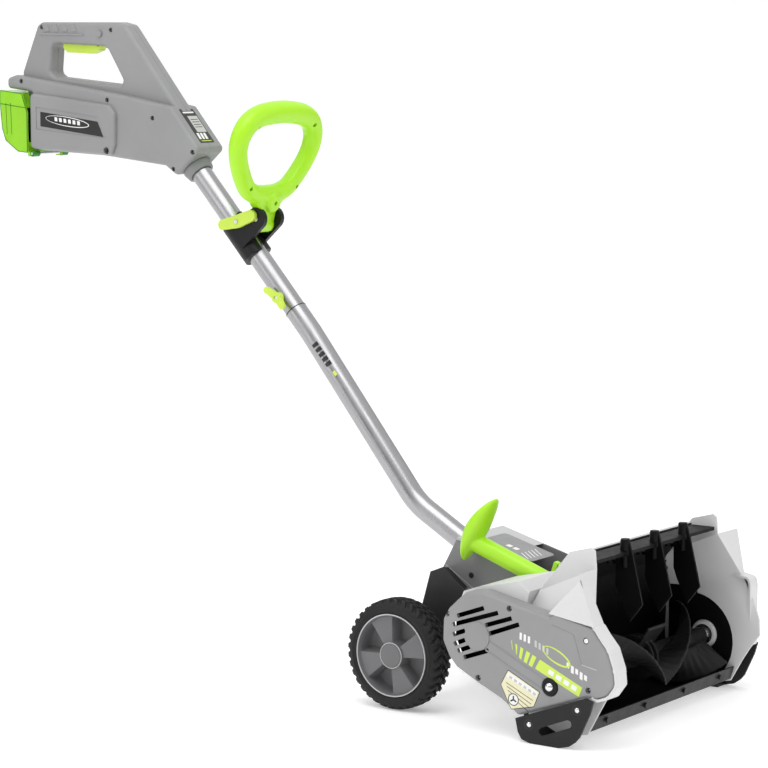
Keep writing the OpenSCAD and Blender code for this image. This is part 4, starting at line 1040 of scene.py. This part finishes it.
nose_decal("nose_label", rounded([(-17, 9), (17, 9), (17, 76), (-17, 76)], 2, 3), 0.25, M["ink_black"])
nose_decal("nose_field", rounded([(-8, 30), (15, 30), (15, 62), (-8, 62)], 1, 3), 0.35, M["ink_pale"])
for k in range(4):
    nose_decal(f"nose_line_{k}", bar_loop((-5, 40 + 5.0 * k), (12, 40 + 5.0 * k), 1.3, 0.3), 0.45,
               M["ink_black"])
for k in range(3):
    u = 8.0 * k - 14
    nose_decal(f"nose_block_{k}", rounded([(u, 16), (u + 5.5, 16), (u + 6.5, 28), (u + 1, 28)], 0.8, 3), 0.45,
               M["ink_white"])
nose_decal("nose_rule", bar_loop((-12, 12.6), (12, 12.6), 1.4, 0.4), 0.45, M["ink_lime"])
nose_decal("nose_top", bar_loop((-13, 69), (13, 69), 3.0, 1.4), 0.45, M["ink_white"])

# ---- tube details

TUBE_DIR = Vector((228.0, 253.6)).normalized()
PRINT_R = (16.6, 17.12)   # a print on the tube, from inside its wall to just over it


def tube_place(p):
    """u across, v up and forward of the upper tube, w along it."""
    u, v, w = p
    return (u, 572 + TUBE_DIR.x * w - TUBE_DIR.y * v, 510 + TUBE_DIR.y * w + TUBE_DIR.x * v)


def tube_band(name, s0, s1, radii, material, a0=0.0, a1=360.0, n=64):
    """Part of a sleeve on the upper tube, from s0 to s1 along it, between two radii."""
    r0, r1 = radii
    points, faces = [], []
    full = abs(a1 - a0) >= 360
    count = n if full else n + 1
    for k in range(count):
        a = math.radians(a0 + (a1 - a0) * k / n)
        for r, s in ((r0, s0), (r1, s0), (r1, s1), (r0, s1)):
            points.append((r * math.cos(a), r * math.sin(a), s))
    for k in range(n):
        b = (k + 1) % count
        for j in range(4):
            i = (j + 1) % 4
            faces.append((k * 4 + j, b * 4 + j, b * 4 + i, k * 4 + i))
    if not full:
        faces += [(0, 1, 2, 3), tuple((count - 1) * 4 + j for j in range(4))]
    return make(name, points, faces, material, "head", "alu", 32, False, tube_place)


tube_band("seam_ring", 42.8, 44.2, (15.8, 17.35), M["ink_black"])
for k in range(5):
    tube_band(f"tube_mark_{k}", -28 - 9.0 * k, -22 - 9.0 * k, PRINT_R, M["ink_black"], 150, 186, 10)
tube_band("tube_mark_tail", -84, -76, PRINT_R, M["ink_lime"], 160, 176, 8)

# ---- rear housing details

LID_DIR = Vector((114.0, 31.0)).normalized()


def lid_place(p):
    """w out of the lid, u across, v up its slope."""
    w, u, v = p
    return (u, 150 + LID_DIR.x * v - LID_DIR.y * w, 205 + LID_DIR.y * v + LID_DIR.x * w)


def lid_decal(name, loop, thick, material):
    return slab(name, [loop], -0.8, thick, 0.0, material, "head", "white", place=lid_place, weighted=False)


lid_decal("lid_label", rounded([(-34, 6), (34, 6), (34, 96), (-34, 96)], 8, 5), 0.25, M["ink_grey"])
for k in range(2):
    v = 56 - 12 * k
    lid_decal(f"lid_square_{k}", rounded([(-14, v), (-4, v), (-4, v + 8), (-14, v + 8)], 1, 3), 0.4,
              M["ink_white"])
for k in range(5):
    lid_decal(f"lid_stripe_{k}", bar_loop((-28 + 9.0 * k, 14), (-16 + 9.0 * k, 34), 1.6, 0.5), 0.4,
              M["ink_white"])
ARC = circle(150, 150, 40, 360)[20:101:8]
for side, tag in SIDES:
    x = side * 60
    # pale line on each side of the housing: a painted highlight for the lit top edge of the bracket
    decal(f"housing_highlight_line_{tag}", bar_loop((285, 193), (216, 150), 0.9, 0.2), x, M["ink_pale"], "grey2", 0.3)
    for k, (p, q) in enumerate(zip(ARC, ARC[1:])):
        decal(f"housing_arc_{tag}_{k}", bar_loop(p, q, 0.9, 0.1), x, M["ink_pale"], "grey2", 0.3)

# ---- battery door details

DOOR = ccw([(1106, 771), (1127, 773), (1153, 790), (1160, 808), (1165, 852), (1164, 871), (1117, 866),
            (1106, 836)])
DOOR_X, DOOR_TOP = 42.6, 43.35   # start and top of the raised lines on the door's sides


def door_line(name, side, loops, radii, top=DOOR_TOP):
    return slab(name, loops, side * DOOR_X, side * top, radii, M["door_dark"], "door", "door")


for side, tag in SIDES:
    slab(f"door_hinge_{tag}", [circle(1098, 770, 4.9)], side * 26.5, side * 41, 0.8, M["door_dark"], "door",
         "door")
for side, tag in SIDES:
    door_line(f"door_edge_{tag}", side, [rounded(DOOR, 3, 3), rounded(inset(DOOR, 1.3), 2, 3)], [0.3, 0.2])
    for k, y in enumerate((1149, 1139)):
        rib = rounded([(y, 800), (y + 1, 800), (y + 3, 850), (y + 2, 850)], 0.3, 2)
        door_line(f"door_rib_{tag}_{k}", side, [rib], 0.2, 43.3)
    door_line(f"door_flap_{tag}", side, [bar_loop((1110, 843), (1163, 849), 1.2, 0.3)], 0.2)

# ---- CAD nodes' looks

for key, names in NODE_LOOK.items():
    for node in names.split():
        finish_cad(node, M[key])

# ---- floor, lights and camera

floor_material = plastic("studio_floor", (0.90, 0.90, 0.90), 0.7, 40, 0.01, 0.01, 0.0, 0.2)
floor_shader = floor_material.node_tree.nodes["Principled BSDF"]
floor_shader.inputs["Emission Color"].default_value = (1.0, 1.0, 1.0, 1.0)
floor_shader.inputs["Emission Strength"].default_value = 0.27
# flat floor that curves up far behind the object
AWAY = Vector((0.816, 0.578, 0))
ACROSS = Vector((0.578, -0.816, 0))
BEND = 3.0
FLAT_TO = 9.0
sweep = [(-6.5, 0.0), (FLAT_TO, 0.0)]
for degrees in range(5, 91, 5):
    a = math.radians(degrees)
    sweep.append((FLAT_TO + BEND * math.sin(a), BEND - BEND * math.cos(a)))
sweep.append((FLAT_TO + BEND, 8.0))
floor_points = [tuple(AWAY * d + ACROSS * s + Vector((0, 0, h))) for d, h in sweep for s in (-7.0, 7.0)]
floor_mesh = bpy.data.meshes.new("floor")
floor_faces = [(2 * k, 2 * k + 2, 2 * k + 3, 2 * k + 1) for k in range(len(sweep) - 1)]
floor_mesh.from_pydata(floor_points, [], floor_faces)
floor_mesh.shade_smooth()
floor = bpy.data.objects.new("floor", floor_mesh)
floor_mesh.materials.append(floor_material)
bpy.context.scene.collection.objects.link(floor)

# sky in bands, whose darker one draws the streaks along the tube
SKY = [(0.0, (0.58, 0.58, 0.58)), (0.10, (0.40, 0.40, 0.41)), (0.26, (0.34, 0.34, 0.35)),
       (0.48, (0.95, 0.95, 0.95)), (1.0, (1.0, 1.0, 1.0))]
world = bpy.data.worlds.new("studio")
bpy.context.scene.world = world
world.use_nodes = True
sky = world.node_tree
sky_coords = sky.nodes.new("ShaderNodeTexCoord")
sky_split = sky.nodes.new("ShaderNodeSeparateXYZ")
sky.links.new(sky_coords.outputs["Generated"], sky_split.inputs["Vector"])
sky.links.new(ramp(sky, sky_split.outputs["Z"], SKY), sky.nodes["Background"].inputs["Color"])
sky.nodes["Background"].inputs["Strength"].default_value = 0.95


def area_light(name, at, to, size, power):
    data = bpy.data.lights.new(name, "AREA")
    data.shape = "RECTANGLE"
    data.size, data.size_y = size
    data.energy = power
    obj = bpy.data.objects.new(name, data)
    bpy.context.scene.collection.objects.link(obj)
    obj.location = at
    obj.rotation_euler = (Vector(to) - Vector(at)).to_track_quat("-Z", "Y").to_euler()


area_light("key", (-1.2, -0.6, 3.2), (0, 0, 0.3), (2.4, 2.4), 38)
area_light("left", (-3.0, 1.6, 1.6), (0, 0, 0.4), (1.6, 2.2), 16)
area_light("front", (1.4, -3.2, 1.6), (0, -0.4, 0.2), (2.0, 1.6), 14)

camera_data = bpy.data.cameras.new("camera")
camera_data.lens = 131.7
camera_data.sensor_width = 36.0
camera_data.clip_end = 100.0
camera = bpy.data.objects.new("camera", camera_data)
bpy.context.scene.collection.objects.link(camera)
TURN, RISE = math.radians(54.69), math.radians(6.82)
right = Vector((math.cos(TURN), -math.sin(TURN), 0))
back = Vector((-math.sin(TURN) * math.cos(RISE), -math.cos(TURN) * math.cos(RISE), math.sin(RISE)))
up = back.cross(right)
view = Matrix((right, up, back)).transposed().to_4x4()
view.translation = Vector((-3.39373, -2.49649, 0.93790))
camera.matrix_world = view
bpy.context.scene.camera = camera
bpy.context.scene.view_settings.view_transform = "Standard"
